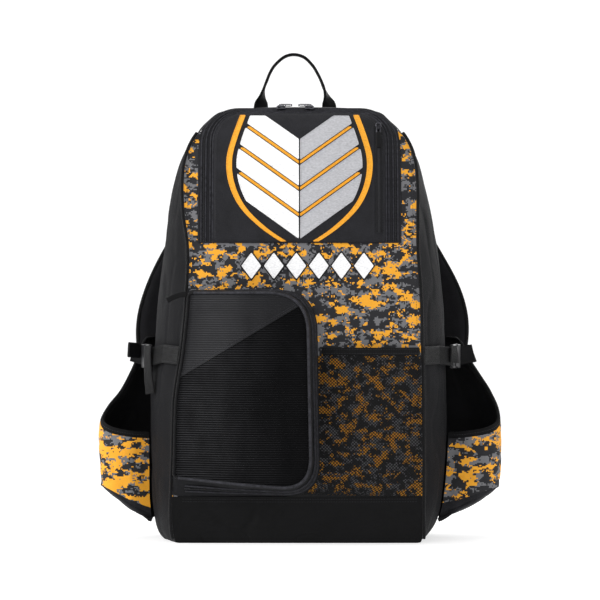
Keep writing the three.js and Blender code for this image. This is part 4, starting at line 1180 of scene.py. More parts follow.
# Front seams' piping
for side, word in SIDES.items():
    row = np.linspace(3, 13.3, 150)
    path, outward = gusset(row, 0 * row, side, with_outward=True)
    path[:, 1] -= CLOTH + SEAM_GAP + 0.2
    path += outward * (PIPING_RADIUS + SEAM_GAP)
    wobble = 0.25 * noise(path, 17, 3)
    shape = sweep(path + outward * wobble[:, None], (0, 1, 0), circle(PIPING_RADIUS * 0.95, 10))
    piece(f"seam_welt_{word}", shape, SEAM_PIPING, f"seam_piping_{word}")


# Back panel


def back_face(u, v):
    row = lerp(row_at(SEAM_GAP, back_height), CROWN_ROW, v)
    z = BODY_HEIGHT * back_height(row)
    return stack((2 * u - 1) * HALF_BACK * back_share(row), back_y(z) + SEAT_GAP, z)


def back_pad_lift(u, v, point):
    """Foam under spacer mesh: a rolled edge and sewn channels."""
    x, z = point[..., 0], point[..., 2]
    half = np.maximum(np.abs(point[..., 0]).max(axis=1, keepdims=True), 1)
    inside = np.minimum(half - np.abs(x), np.minimum(z - 2, BODY_HEIGHT - 3 - z))
    roll = np.sqrt(np.clip(1 - (1 - np.clip(inside / 12, 0, 1)) ** 2, 0, 1))
    channel = np.minimum.reduce([
        np.abs(np.abs(x) - 34 - 10 * np.sin(z / 180)),
        np.where(np.abs(x) > 36, np.abs(z - 170 - 0.25 * np.abs(x)), 99),
        np.where(np.abs(x) > 36, np.abs(z - 330 - 0.25 * np.abs(x)), 99),
    ])
    groove = np.exp(-((channel / 4.5) ** 2)) * smooth(inside, 10, 30)
    dents = 0.3 * folds(point, 40, 60) * smooth(inside, 5, 20)
    return (BACK_PAD - SEAT_GAP) * np.clip(roll * (0.96 - 0.55 * groove), 0.12, 1) + dents


u, v = np.meshgrid(np.linspace(0, 1, 103), np.linspace(0, 1, 157))
inner = back_face(u, v)
outer = inner.copy()
outer[..., 1] += back_pad_lift(u, v, inner)
shape = two_layers(outer, inner, flat_places(inner))
back_pad = piece("back_padding", shape, PADDING, "back_panel")


# Box pocket


def seam_x(z):
    return -front_half(z, -1)


def rounded_loop(corners, steps=16):
    """A loop of X and Z: each corner is (x, z, radius, parts of the straight edge after it)."""
    made = []
    for k, (x, z, radius, _) in enumerate(corners):
        here = np.array([x, z], float)
        if not radius:
            made.append(here[None])
            continue
        before, after = np.array(corners[k - 1][:2]), np.array(corners[(k + 1) % len(corners)][:2])
        start, end = (here + radius * unit(p - here) for p in (before, after))
        made.append(bezier(start, here, end, steps))
    loop = []
    for k, points in enumerate(made):
        following = made[(k + 1) % len(made)][0]
        parts = corners[k][3]
        loop += [points, lerp(points[-1], following, (np.arange(1, parts) / parts)[:, None])]
    return np.concatenate(loop)


def inset_loop(loop, distance):
    """The same loop, moved inwards. It runs anticlockwise."""
    along = unit(np.roll(loop, -1, 0) - np.roll(loop, 1, 0))
    return loop + distance * np.stack([-along[:, 1], along[:, 0]], 1)


def door_loop(flare):
    """The box pocket's outline, of its face or, with a flare, of its foot on the front."""
    low = BAND_HEIGHT + 2 * SEAT_GAP if flare else DOOR_LOW_LEFT
    low_right = low if flare else DOOR_LOW_RIGHT
    high = DOOR_TOP + flare / 4
    edge = np.linspace(high, low, 24)
    corners = [(float(seam_x(z)), z, 0, 3) for z in edge]
    corners[0] = (float(seam_x(high)), high, DOOR_SEAM_RADIUS, 3)
    corners[-1] = (float(seam_x(low)), low, DOOR_SEAM_RADIUS, 48)
    corners.append((DOOR_RIGHT + 1 + flare, low_right, DOOR_LOW_RADIUS, 48))
    corners.append((DOOR_RIGHT - 4 + flare, high, DOOR_TOP_RADIUS, 40))
    return rounded_loop(corners)


POCKET_CREASES = (
    (-1.5, (-118, 190), (-92, 100), 6),
    (-1.3, (-64, 250), (-44, 120), 7),
    (-1.2, (-30, 270), (4, 232), 6),
    (-1.0, (-20, 180), (-6, 90), 6),
)


def door_dents(x, z):
    """Soft vertical folds of the pocket's face."""
    place = stack(x, 0, z)
    inside = smooth(x, seam_x(z) + 4, seam_x(z) + 30) * smooth(z, 72, 100) * (1 - smooth(z, 296, 318))
    lines = crease_lines(x, z, POCKET_CREASES)
    return inside * (lines + 1.6 * (np.minimum(folds(place, (46, 46, 90), 71), 0.3) - 0.3))


def door_face_y(x, z):
    left = seam_x(z)
    share = np.clip((x - left) / (DOOR_RIGHT - left), 0, 1)
    height = np.clip((z - DOOR_LOW_RIGHT) / (DOOR_TOP - DOOR_LOW_RIGHT), 0, 1)
    swell = 0.22 + 0.78 * smooth(share, 0, 0.5)
    crown = DOOR_CROWN * np.sin(np.pi * share) * np.sin(np.pi * height)
    return front_y(x, z) - DOOR_DEPTH * swell - crown


face_loop, base_loop = door_loop(0), door_loop(DOOR_FLARE)


def door_wall(share, inset=0.0):
    """A ring of the wall, from the pocket's foot at 0 to its face at 1."""
    loop = lerp(inset_loop(base_loop, inset), inset_loop(face_loop, inset), share)
    foot = front_y(loop[:, 0], loop[:, 1]) - SEAT_GAP
    return stack(loop[:, 0], lerp(foot, door_face_y(loop[:, 0], loop[:, 1]), share), loop[:, 1])


shares = np.linspace(0, 1, 13)
outer = np.stack([door_wall(share) for share in shares])
normal = grid_normals(outer, outer - outer.mean(axis=(0, 1)), ring=True)
slack = hollows(outer, 1.4, (34, 34, 40), 81) * border(shares[:, None], 0.2, 0.2)
outer = outer + normal * slack[..., None]
shape = two_layers(outer, outer - normal * CLOTH, flat_places(outer), ring=True)
piece("box_pocket_side_cloth", shape, POCKET, "box_pocket_wall")

# The zip runs round the free edges only, so it leaves out the loop's points along the body's seam
ZIP_START, ZIP_END = 102, len(face_loop) - 20
wall_trim = [
    sweep(door_wall(share, -0.4)[ZIP_START:ZIP_END], (0, 1, 0), circle(1.3, 8)) for share in (0.3, 0.62)
]
ring = door_wall(0.46, -0.5)[ZIP_START:ZIP_END]
piece("box_pocket_zip_ribs", joined(wall_trim), PIPING, "box_pocket_wall", turn=False)
shape = beads([(ring, FRONTWARD)], COIL_PITCH, 2.4, 0.8, across=True)
piece("box_pocket_coil", shape, COIL, "box_pocket_wall", turn=False)


def door_sheet(count_u, count_v, relief):
    def face(u, v):
        z = lerp(DOOR_LOW_RIGHT - 4, DOOR_TOP + 4, v)
        x = lerp(seam_x(z) - 2, DOOR_RIGHT + 4, u)
        return stack(x, door_face_y(x, z), z)

    return cloth_sheet(face, count_u, count_v, DOOR_FACE, FRONTWARD, relief)


# The seam across the pocket climbs from its left edge to its right edge
SEAM_LEFT_X = float(seam_x(DOOR_SEAM_LEFT))
SEAM_SLOPE = (DOOR_SEAM_RIGHT - DOOR_SEAM_LEFT) / (DOOR_RIGHT - SEAM_LEFT_X)
BEYOND = 300


def diagonal(above):
    """All that lies above or below that seam."""
    gap = SEAM_GAP / 2 if above else -SEAM_GAP / 2
    left, right = SEAM_LEFT_X - BEYOND, DOOR_RIGHT + BEYOND
    low = DOOR_SEAM_LEFT - SEAM_SLOPE * BEYOND + gap
    high = DOOR_SEAM_RIGHT + SEAM_SLOPE * BEYOND + gap
    far = 1200 if above else -700
    corners = [(left, low), (right, high), (right, far), (left, far)]
    return corners if above else corners[::-1]


def rib_relief(u, v, point):
    x, z = point[..., 0], point[..., 2]
    inside = border(u, 0.04, 0.04) * border(v, 0.03, 0.03)
    ribs = 0.42 * (0.5 + 0.5 * np.sin(2 * np.pi * z / RIB_PITCH)) ** 1.5
    return inside * (door_dents(x, z) - 0.45 + ribs)


def seam_distance(x, z):
    """How far above that seam a place is."""
    return (z - DOOR_SEAM_LEFT - SEAM_SLOPE * (x - SEAM_LEFT_X)) / math.hypot(1, SEAM_SLOPE)


def upper_relief(u, v, point):
    x, z = point[..., 0], point[..., 2]
    inside = border(u, 0.04, 0.04) * border(v, 0.03, 0.04)
    fold_over = 0.7 * np.exp(-((seam_distance(x, z) - 2) ** 2) / 6)
    lines = 0.14 * np.sin(2 * np.pi * z / RIB_PITCH) * (1 - smooth(x, -90, -30))
    return inside * (door_dents(x, z) * 0.7 + lines) + inside * fold_over


inner_loop = inset_loop(face_loop, CLOTH + SEAM_GAP)
for name, shape, material, node, slot, above in (
    ("top_cloth", door_sheet(110, 200, upper_relief), POCKET_TOP, "upper_cloth", "black_cloth", True),
    ("rib_cloth", door_sheet(56, 470, rib_relief), RIBBED, "ribbed_mesh", "net", False),
):
    made = piece(f"box_pocket_{name}", shape, material, f"box_pocket_{node}", sharp=0)
    cut(made, ("INTERSECT", inner_loop), ("INTERSECT", diagonal(above)))

path = inset_loop(face_loop, PIPING_RADIUS / 2)
path = stack(path[:, 0], door_face_y(path[:, 0], path[:, 1]) - PIPING_RADIUS * 0.45, path[:, 1])
shape = sweep(path, FRONTWARD, circle(PIPING_RADIUS, 10), loop=True)
welt = piece("box_pocket_welt", shape, DOOR_PIPING, "box_pocket_piping")
centres = np.array([face.center for face in welt.data.polygons]) / MM
second_material(welt, SEAM_PIPING, centres[:, 0] < seam_x(centres[:, 2]) + 7)


# Mesh pocket

MESH_CREASES = ((1.6, (84, 236), (86, 160), 5), (-1.2, (60, 200), (48, 110), 6))


def mesh_point(u, z, lift):
    """The mesh pocket's front, which gapes from the bag and has a few folds."""
    right = front_half(z, 1) - MESH_INSET
    x = lerp(MESH_LEFT, right, u)
    height = np.clip((z - MESH_LOW) / (MESH_TOP - MESH_LOW), 0, 1)
    gape = MESH_GAPE * np.maximum(1 - (2 * u - 1) ** 2, 0) * np.sin(np.pi / 2 * (0.1 + 0.9 * height))
    fold = crease_lines(x, z, MESH_CREASES)
    sag = 0.8 * folds(stack(x, 0, z), (40, 40, 50), 91) * border(u, 0.1, 0.1) * border(height, 0.1, 0.1)
    return stack(x, front_y(x, z) - SEAT_GAP - gape - lift + np.minimum(fold, 0) + sag, z)


def net(place, count_u, count_v, radius):
    """Threads that cross in diamonds between the points of a grid."""
    i, j = np.meshgrid(np.arange(count_u), np.arange(count_v))
    i, j = i.ravel(), j.ravel()
    rising = (i + j) % 2 == 0
    starts = np.stack([np.where(rising, i, i + 1), j], 1)
    ends = np.stack([np.where(rising, i + 1, i), j + 1], 1)
    start = place(starts[:, 0] / count_u, starts[:, 1] / count_v)
    end = place(ends[:, 0] / count_u, ends[:, 1] / count_v)
    along = unit(end - start)
    side = unit(np.cross(along, FRONTWARD))
    lift = np.cross(side, along)
    start, end = start - along * radius * 0.6, end + along * radius * 0.6
    rings = [
        at + side * first + lift * second
        for at in (start, end)
        for first, second in circle(radius, 4, 0.8)
    ]
    points = np.stack(rings, 1)
    one = np.array(turned_out(points[0], grid_quads(2, 4, True).tolist() + caps(2, 4)))
    return points, (np.arange(len(points))[:, None, None] * 8 + one).reshape(-1, 4), None


beside = base_loop[:, 0] > DOOR_RIGHT + DOOR_FLARE - DOOR_LOW_RADIUS
foot = base_loop[beside & (base_loop[:, 1] < MESH_TOP + 10)]
foot = foot[np.argsort(foot[:, 1])]


def net_point(u, v):
    """The net reaches the box pocket's foot on the left, round its lower corner."""
    z = lerp(BAND_HEIGHT + 0.2, MESH_TOP, v)
    start = np.interp(z, foot[:, 1], foot[:, 0]) - 1.0
    end = front_half(z, 1) - 0.3
    width = front_half(z, 1) - MESH_INSET - MESH_LEFT
    return mesh_point((lerp(start, end, u) - MESH_LEFT) / width, z, MESH_THICKNESS / 2)


shape = net(net_point, 64, 88, 0.66)
piece("mesh_pocket_threads", shape, NET, "mesh_pocket_net", sharp=0, turn=False)


def binding_face(u, v):
    return mesh_point(u, lerp(MESH_TOP + SEAM_GAP, MESH_TOP + MESH_BINDING, v), CLOTH + MESH_THICKNESS)


GATHER_PITCH = 2.9


def binding_relief(u, v, point):
    roll = -1.1 * (1 - border(v, 0.2, 0.2))
    gather = 0.18 * np.sin(point[..., 0] * 2 * np.pi / GATHER_PITCH)
    wavy = 0.5 * folds(point, (30, 30, 20), 95) * border(u, 0.1, 0.1)
    return roll + gather * border(v, 0.2, 0.2) - 0.2 + wavy


shape = cloth_sheet(binding_face, 260, 14, CLOTH, FRONTWARD, binding_relief)
piece("mesh_pocket_edge", shape, BINDING, "mesh_pocket_binding")


# Bat pockets


def bat_point(side, u, z, lift=0.0):
    row = u * LAST_BAT_ROW
    lean = lean_share[side](z / BODY_HEIGHT)
    stand = BAT_SEAT + BAT_REACH * np.maximum(bat_reach(row), 0) * lean
    return gusset(row_at(z), bat_station(row), side, stand + lift)


def bat_hem(row, side):
    """The height up to which the pocket's foot is plain black, most of it next to the body."""
    reach = np.clip(bat_reach(row), 0, 1)
    return BODY_HEIGHT * bat_floor(row) + 1.5 + BAT_HEM[side] * (1 - reach)


def bat_surface(side):
    def face(u, v):
        row = u * LAST_BAT_ROW
        share = np.clip(v / FLOOR_SHARE, 0, 1)
        edge = bat_point(side, u, BODY_HEIGHT * bat_floor(row))
        foot = gusset(row_at(np.full_like(row, BAT_BOTTOM[side])), bat_station(row), side, 1.5 * BAT_SEAT)
        floor = lerp(foot, edge, share[..., None])
        floor[..., 2] -= 6 * np.sin(np.pi * share) * np.sin(np.pi * u)
        low = BODY_HEIGHT * bat_floor(row)
        hem = bat_hem(row, side)
        high = BODY_HEIGHT * bat_rim(row) - BAT_BINDING - SEAM_GAP
        foot_z = lerp(low, hem, np.clip((v - FLOOR_SHARE) / (HEM_SHARE - FLOOR_SHARE), 0, 1))
        upper_z = lerp(hem, high, np.clip((v - HEM_SHARE) / (1 - HEM_SHARE), 0, 1))
        wall = bat_point(side, u, np.where(v < HEM_SHARE, foot_z, upper_z))
        return np.where((v < FLOOR_SHARE)[..., None], floor, wall)

    return face


def bat_relief(seed):
    def relief(u, v, point):
        calm = border(u, 0.04, 0.04) * border(v, 0.03, 0.05)
        line = -0.9 * np.exp(-(((v - FLOOR_SHARE) / 0.012) ** 2))
        return calm * (hollows(point, 1.8, (40, 40, 44), seed) + line)

    return relief


def level_places(points):
    """Places in a wall's cloth: the way round it, level, and the height."""
    step = np.linalg.norm(np.diff(points[..., :2], axis=1), axis=-1)
    along = np.concatenate([np.zeros((len(points), 1)), np.cumsum(step, axis=1)], 1)
    return np.stack([along, points[..., 2], flat_places(points)[..., 2]], axis=-1)


for side, word in SIDES.items():
    count_u, count_v = 120, 100
    outward = (side, 0, 0)
    shape = cloth_sheet(
        bat_surface(side), count_u, count_v, BAT_WALL, outward, bat_relief(50 + side), places=level_places
    )
    camouflage = SIDE_CAMOUFLAGE[side]
    wall = piece(f"bat_pocket_cloth_{word}", shape, camouflage, f"bat_pocket_{word}")
    wall.data.materials.append(LINING)
    wall.data.materials.append(BLACK)
    # The outer face comes first: black up to the hem and camouflage above it. All else is lining
    row_of_face = np.repeat(np.arange(count_v), count_u)
    index = np.where(row_of_face < HEM_SHARE * count_v, 2, 0)
    rest = np.ones(len(wall.data.polygons) - len(index), int)
    wall.data.polygons.foreach_set("material_index", np.concatenate([index, rest]).astype(np.int32))

    def rim_face(u, v):
        rim = BODY_HEIGHT * bat_rim(u * LAST_BAT_ROW)
        return bat_point(side, u, rim - BAT_BINDING * (1 - v))

    def rim_relief(u, v, point):
        return -0.9 * (1 - border(v, 0.3, 0.3)) + 0.12 * np.sin(u * 900) * border(v, 0.3, 0.3)

    shape = cloth_sheet(rim_face, 420, 8, BAT_BINDING_THICKNESS - 0.9, outward, rim_relief)
    piece(f"bat_pocket_edge_{word}", shape, BINDING, f"bat_pocket_binding_{word}")


# Compression straps and buckles


def rounded_block(size, middle=(0, 0, 0), bevel=0.8, scale_end=1.0):
    """A block with cut edges, along the axes (forward, across, thick). Its far end may be smaller."""
    l, w, t = (length / 2 for length in size)
    ring = [(-w, -t + bevel), (-w + bevel, -t), (w - bevel, -t), (w, -t + bevel)]
    ring += [(w, t - bevel), (w - bevel, t), (-w + bevel, t), (-w, t - bevel)]
    points = []
    for place, shrink in ((-l, 0.9), (-l + bevel, 1), (l - bevel, scale_end), (l, scale_end * 0.9)):
        points += [(place + middle[0], a * shrink + middle[1], b * shrink + middle[2]) for a, b in ring]
    points = np.array(points, float)
    return points, grid_quads(4, 8, True).tolist() + caps(4, 8), np.zeros_like(points)


def both(axis, size, middle, bevel, scale_end=1.0):
    """The same block on both sides of the middle."""
    other = [-place if k == axis else place for k, place in enumerate(middle)]
    return [rounded_block(size, at, bevel, scale_end) for at in (middle, other)]


def placed(parts, origin, forward, across, thick):
    """Blocks given along forward, across and thick, moved to where they belong."""
    points, faces, cloth = joined(parts)
    axes = np.array([forward, across, thick], float)
    return np.asarray(origin) + points @ axes, faces, cloth


for side, word in SIDES.items():
    row = float(row_at(COMPRESSION_HEIGHT))
    along = np.array([side * math.sin(BUCKLE_TURN), math.cos(BUCKLE_TURN), 0])
    out = np.array([side * math.cos(BUCKLE_TURN), -math.sin(BUCKLE_TURN), 0])
    middle = np.array([side * BUCKLE_X[side], BUCKLE_Y, COMPRESSION_HEIGHT - 2.0])

    def on_axis(distance):
        """A place on the buckle's middle line, from where its halves meet."""
        return middle + along * distance

    share = np.linspace(0.03, COMPRESSION_END, 50)
    path = gusset(row, share, side, 1.6 * SEAT_GAP + WEBBING / 2)
    across = gusset(row + 0.2, share, side) - gusset(row - 0.2, share, side)
    end = np.array([on_axis(-MALE_LENGTH - distance) for distance in (10, 6, 3, SEAM_GAP)])
    path = np.concatenate([path, end])
    across = np.concatenate([across, np.tile(UP, (4, 1)) * np.linalg.norm(across[0])])
    path = resample(path, 1.5)
    new, old = (np.linspace(0, 1, count) for count in (len(path), len(across)))
    across = unit(np.stack([np.interp(new, old, across[:, k]) for k in range(3)], 1))
    shape = sweep(path, across, strap_profile(COMPRESSION_WIDTH, WEBBING))
    piece(f"compression_webbing_{word}", shape, WEB, f"compression_strap_{word}")

    width, thickness = BUCKLE_WIDTH, BUCKLE_THICKNESS
    female = [
        *both(2, (FEMALE_LENGTH - 8, width, 1.9), (13, 0, thickness / 2 - 0.95), 0.6),
        rounded_block((5, width * 0.98, thickness * 0.96), (2.5, 0, 0), 1.6),
        *both(1, (6, 3.4, thickness), (20, width / 2 - 1.7, 0), 1.0),
        rounded_block((3, width * 0.94, thickness * 0.8), (21.5, 0, 0), 0.9),
        rounded_block((3.2, width * 0.9, 3.4), (26.4, 0, 0), 1.1, 0.96),
        *both(1, (6, 3.2, 3.4), (24, width * 0.42, 0), 1.0),
    ]
    male = [
        rounded_block((4, width * 0.96, thickness * 0.8), (-2.3, 0, 0), 1.3),
        rounded_block((3.4, width * 0.94, 4.2), (-20.2, 0, 0), 1.2),
        rounded_block((3, width * 0.94, 4.6), (-12.4, 0, 0.3), 1.2),
        *both(1, (20, 3.2, 5.2), (-11.5, width * 0.455, 0), 1.2),
        *both(1, (18, 3.6, 3.2), (6, width * 0.33, 0), 1.0, 0.8),
        rounded_block((16, 3.0, 2.6), (5, 0, 0), 0.9, 0.8),
        *both(1, (7, 4.2, 4.6), (12, width * 0.455, 0), 1.4),
    ]
    for name, node, parts in (("body", "female", female), ("prongs", "male", male)):
        shape = placed(parts, middle, along, UP, out)
        piece(f"buckle_{name}_{word}", shape, PLASTIC, f"buckle_{node}_{word}", turn=False)

    # The wing webbing runs from the buckle to the pocket's rising edge
    u = np.linspace(0.6, 0.8125, 30)
    height = np.full_like(u, COMPRESSION_HEIGHT - 2.0)
    wing = bat_point(side, u, height, WING_LIFT + WEBBING / 2)
    across = bat_point(side, u, height + 10) - bat_point(side, u, height - 10)
    start = np.array([on_axis(FEMALE_LENGTH + SEAM_GAP + gap) for gap in (0, 2.5, 5)])
    path = np.concatenate([start, wing])
    across = np.concatenate([np.tile(UP, (3, 1)), unit(across)])
    shape = sweep(path, across, strap_profile(COMPRESSION_WIDTH, WEBBING))
    piece(f"wing_strap_{word}", shape, WEB, f"wing_webbing_{word}")

    # The loose end hangs over the strap in front of the buckle
    tail_length = 48 if side < 0 else 24
    start = on_axis(-MALE_LENGTH - 6)
    knots = [(3.5, 0, 14), (4.5, 0, 4), (4.5, -1, -8)]
    if tail_length > 30:
        knots += [(3.5, -3, -14 - tail_length / 3), (2, -5, -14 - tail_length / 2), (1, -6, -tail_length)]
    path = start + np.array(knots) * (side, 1, 1)
    path = resample(path, 1.5)
    kernel = np.ones(5) / 5
    path[2:-2] = np.stack([np.convolve(path[:, k], kernel, "valid") for k in range(3)], 1)
    twist = np.linspace(0, 0.35, len(path))
    across = stack(side * (0.36 + twist * 0.5), 0.93 - twist * 0.3, 0)
    shape = sweep(path, across, strap_profile(COMPRESSION_WIDTH - 1, WEBBING))
    piece(f"loose_end_{word}", shape, WEB, f"strap_tail_{word}")

root = np.array([-BUCKLE_X[-1] - 11.9, BUCKLE_Y + FEMALE_LENGTH + 5, COMPRESSION_HEIGHT + 5])
share = np.linspace(0, 1, 16)[:, None]
path = root + share * (-14, -12.6, 1.4)
piece("folded_tab", sweep(path, UP, strap_profile(20, 3.6)), WEB, "webbing_tab_left")


# Shoulder straps

STRAP_ROWS = 8
strap_share = {-1: through(STRAP, "row", "left"), 1: through(STRAP, "row", "right")}
strap_off = through(STRAP, "row", "off")
strap_height = through(STRAP, "row", "height")
strap_width = through(STRAP, "row", "width")


def lying_y(z, thickness):
    return back_y(z) + BACK_PAD + SEAT_GAP + thickness / 2


def strap_point(row, side):
    z = BODY_HEIGHT * strap_height(row)
    y = lying_y(z, STRAP_THICKNESS) + 2 * HALF_DEPTH * strap_off(row)
    return stack(side * HALF_BACK * strap_share[side](row), y, z)


def strap_frame(row, side):
    before, after = np.maximum(row - 0.1, 0), np.minimum(row + 0.1, STRAP_ROWS)
    along = unit(strap_point(after, side) - strap_point(before, side))
    across = unit(np.cross(along, (0, 1, 0)))
    return strap_point(row, side), along, across, np.cross(across, along)


def pad_ring(row, side, thickness, sides=28):
    """Sections of the strap: wide, with rounded edges."""
    angle = 2 * np.pi * (np.arange(sides) + 0.5) / sides
    a = np.sign(np.cos(angle)) * np.abs(np.cos(angle)) ** 0.55 / 2
    b = np.sign(np.sin(angle)) * np.abs(np.sin(angle)) ** 0.7 / 2
    point, _, across, thick = strap_frame(row, side)
    wide = (STRAP_WIDTH * strap_width(row))[:, None, None]
    high = thickness[:, None, None]
    return (
        point[:, None] + across[:, None] * a[None, :, None] * wide
        + thick[:, None] * (b * STRAP_THICKNESS)[None, :, None] * high
    )


def puffed(made, voxel, pressure, cap, frames=20):
    """Lets a closed cloth fill with air for a moment, so that its faces swell and its edges pull in."""
    remesh = made.modifiers.new("remesh", "REMESH")
    remesh.mode = "VOXEL"
    remesh.voxel_size = voxel * MM
    bpy.context.view_layer.update()
    bake(made, sharp=180)
    before = np.array([v.co for v in made.data.vertices])
    cloth = made.modifiers.new("air", "CLOTH")
    cloth.settings.use_pressure = True
    cloth.settings.uniform_pressure_force = pressure
    cloth.settings.effector_weights.gravity = 0
    cloth.settings.quality = 5
    cloth.settings.tension_stiffness = 15
    cloth.settings.compression_stiffness = 15
    cloth.settings.mass = 0.3
    for step in range(1, frames + 1):
        scene.frame_set(step)
    depsgraph = bpy.context.evaluated_depsgraph_get()
    moved = made.evaluated_get(depsgraph)
    after = np.array([v.co for v in moved.data.vertices])
    made.modifiers.clear()
    shift = after - before
    length = np.linalg.norm(shift, axis=1, keepdims=True)
    shift *= np.minimum(1, cap * MM / np.maximum(length, 1e-9))
    made.data.vertices.foreach_set("co", (before + shift).astype(np.float32).ravel())
    scene.frame_set(1)
    smooth_out = made.modifiers.new("even", "SMOOTH")
    smooth_out.factor = 0.5
    smooth_out.iterations = 3
    finer = made.modifiers.new("finer", "SUBSURF")
    finer.levels = 1
    bpy.context.view_layer.update()
    bake(made, back_places, sharp=180)


def back_places(points):
    across = points[..., 0] + 0.3 * points[..., 1]
    return np.stack([across, points[..., 2], np.full(points.shape[:-1], DEEP_IN_CLOTH)], axis=-1)


for side, word in SIDES.items():
    row = np.linspace(0, STRAP_ROWS, 70)
    ring = pad_ring(row, side, np.where(row > STRAP_ROWS - 0.5, 0.6, 0.8))
    count, sides = ring.shape[:2]
    shape = ring, grid_quads(count, sides, True).tolist() + caps(count, sides), None
    pad = piece(f"strap_padding_{word}", shape, PADDING, f"shoulder_strap_{word}", sharp=0)
    puffed(pad, 4.5, 4.0, 1.6)

    # Bound edges of the strap and a webbing sewn down its middle
    row = np.linspace(0.12, STRAP_ROWS - 0.1, 160)
    point, along, across, thick = strap_frame(row, side)
    half = (STRAP_WIDTH * strap_width(row) / 2 - 2.9)[:, None]
    edges = [sweep(point + across * half * end, across, circle(2.9, 12, 0.9)) for end in (-1, 1)]
    piece(f"strap_edge_{word}", joined(edges), BINDING, f"shoulder_strap_{word}", turn=False)
    out = thick * np.where(np.sum(thick[:, 1]) > 0, 1, -1)
    sewn = slice(18, 150)
    path = (point + out * (STRAP_THICKNESS / 2 + 0.4))[sewn]
    shape = sweep(path, across[sewn], strap_profile(STRAP_WIDTH * 0.3, 1.4))
    piece(f"strap_web_{word}", shape, WEB, f"shoulder_strap_{word}")

    # Webbing from the strap's end down to the base
    end = strap_point(np.array([8.0]), side)[0]
    down = unit(end - strap_point(np.array([7.9]), side)[0])
    low_z = 0.06 * BODY_HEIGHT
    low = stack(side * 0.8 * HALF_BACK, lying_y(low_z, WEBBING), low_z)
    knots = np.array([
        end + down * 2 * SEAM_GAP,
        end + down * 30,
        end + down * 42,
        lerp(end + down * 30, low, 0.6),
        low + (side, 0.5, 10),
        low + (0, 0, -12),
    ])
    across = np.cross(down, (0, 1, 0))
    path = resample(knots, 2.0)
    shape = sweep(path, across, strap_profile(20, WEBBING))
    piece(f"lower_webbing_{word}", shape, WEB, f"shoulder_webbing_{word}")


# Haul handle

handle_across = through(HANDLE, "row", "across")
handle_up = through(HANDLE, "row", "height")
handle_turn = through(HANDLE, "row", "turn")
box_low, box_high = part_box("haul_handle")
foot_y = (box_low[1] + box_high[1]) / 2 / MM
foot_z = box_low[2] / MM
row = np.linspace(0, 16, 220)
angle = np.pi / 2 * handle_turn(row)
path = stack(
    HANDLE_CENTRE + HANDLE_SPAN / 2 * handle_across(row),
    foot_y,
    foot_z + HANDLE_HEIGHT * handle_up(row),
)
across = stack(np.cos(angle), np.sin(angle), 0)
shape = sweep(path, across, strap_profile(HANDLE_WIDTH, HANDLE_THICKNESS))
piece("handle_webbing", shape, WEB, "haul_handle")
for node in ("adjuster_left", "adjuster_right"):
    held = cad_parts[node]
    held.data.materials.clear()
    held.data.materials.append(PLASTIC)


# Zips


def slope_frame(x, z, reach=12.0):
    """A place on the front, and the ways up and out of it."""
    low, high = (stack(x, front_y(x, height), height) for height in (z - reach, z))
    up = unit(high - low)
    return high, up, np.cross(up, (-1, 0, 0))


def zip_pull(length, width, tab=0.0):
    """A slider, its bridge and its pull, along (forward, across, thick). A cloth tab may hang from it."""
    metal = [
        rounded_block((5, 8, 4), (3.2, 0, 0), 1.1, 0.9),
        rounded_block((7, 5.6, 4), (-2.2, 0, 0), 1.1, 0.9),
        rounded_block((8, 2.4, 1.2), (0, 0, 3.4), 0.4),
        rounded_block((1.2, 2.4, 2.4), (3.6, 0, 2.6), 0.4),
        rounded_block((1.2, 2.4, 2.4), (-3.6, 0, 2.6), 0.4),
    ]
    shank = length - tab
    for side in (-1, 1):
        middle = (1.5 - shank / 2, side * width * 0.34, 4.3)
        metal.append(rounded_block((shank - 2, width * 0.24, 1.3), middle, 0.4))
    for place in (1.6, 1.6 - shank / 2, 1.4 - shank):
        metal.append(rounded_block((1.8, width * 0.8, 1.3), (place, 0, 4.3), 0.4))
    cloth = [rounded_block((tab, width * 0.9, 2.2), (2.6 - shank - tab / 2, 0, 4.3), 0.8)] if tab else []
    return metal, cloth


TAPE_THICKNESS = 1.4
origin, up, out = slope_frame(FLAP_ZIP_X, FLAP_ZIP_HIGH - 6)
origin = origin + out * (FLAP_RISE + SEAT_GAP + TAPE_THICKNESS + 2.9)
metal, cloth_tab = zip_pull(38, 7, tab=24)
shape = placed(metal, origin, up, (1, 0, 0), out)
piece("flap_slider", shape, METAL, "flap_zip_slider", turn=False)
shape = placed(cloth_tab, origin, up, (1, 0, 0), out)
piece("flap_pull_tab", shape, WEB, "flap_zip_slider", turn=False)

for word, x, direction in (("left", -24, 1), ("right", 13, -1)):
    origin, up, out = slope_frame(x, BODY_HEIGHT - 4.0, 6.0)
    metal, _ = zip_pull(15, 6)
    forward = np.array([-direction, 0, 0])
    shape = placed(metal, origin + out * 3.6, forward, np.cross(out, forward), out)
    piece(f"top_slider_{word}", shape, METAL, f"top_zip_slider_{word}", turn=False)


def tape_face(side):
    def face(u, v):
        x = FLAP_ZIP_X + side * (0.5 + u * 3.9)
        z = lerp(FLAP_ZIP_LOW, FLAP_ZIP_HIGH, v)
        return stack(x, front_y(x, z) - FLAP_RISE - SEAT_GAP - 0.9, z)

    return face


def tape_relief(u, v, point):
    return 0.35 * u * np.sin(point[..., 2] / 2.1 + 2.5 * noise(point, 12, 2)) - 0.3 * u


parts = [cloth_sheet(tape_face(side), 8, 160, 0.7, FRONTWARD, tape_relief) for side in (-1, 1)]
piece("flap_zip_tape", joined(parts), TAPE, "flap_zip", turn=False)
path = [(FLAP_ZIP_X, FLAP_ZIP_LOW + 1), (FLAP_ZIP_X, FLAP_ZIP_HIGH - 1)]
path = on_front(path, FLAP_RISE + SEAT_GAP + 1.1)
shape = beads([(path, FRONTWARD)], 1.6, 3.4, 0.7, across=True)
piece("flap_zip_coil", shape, COIL, "flap_zip", turn=False)

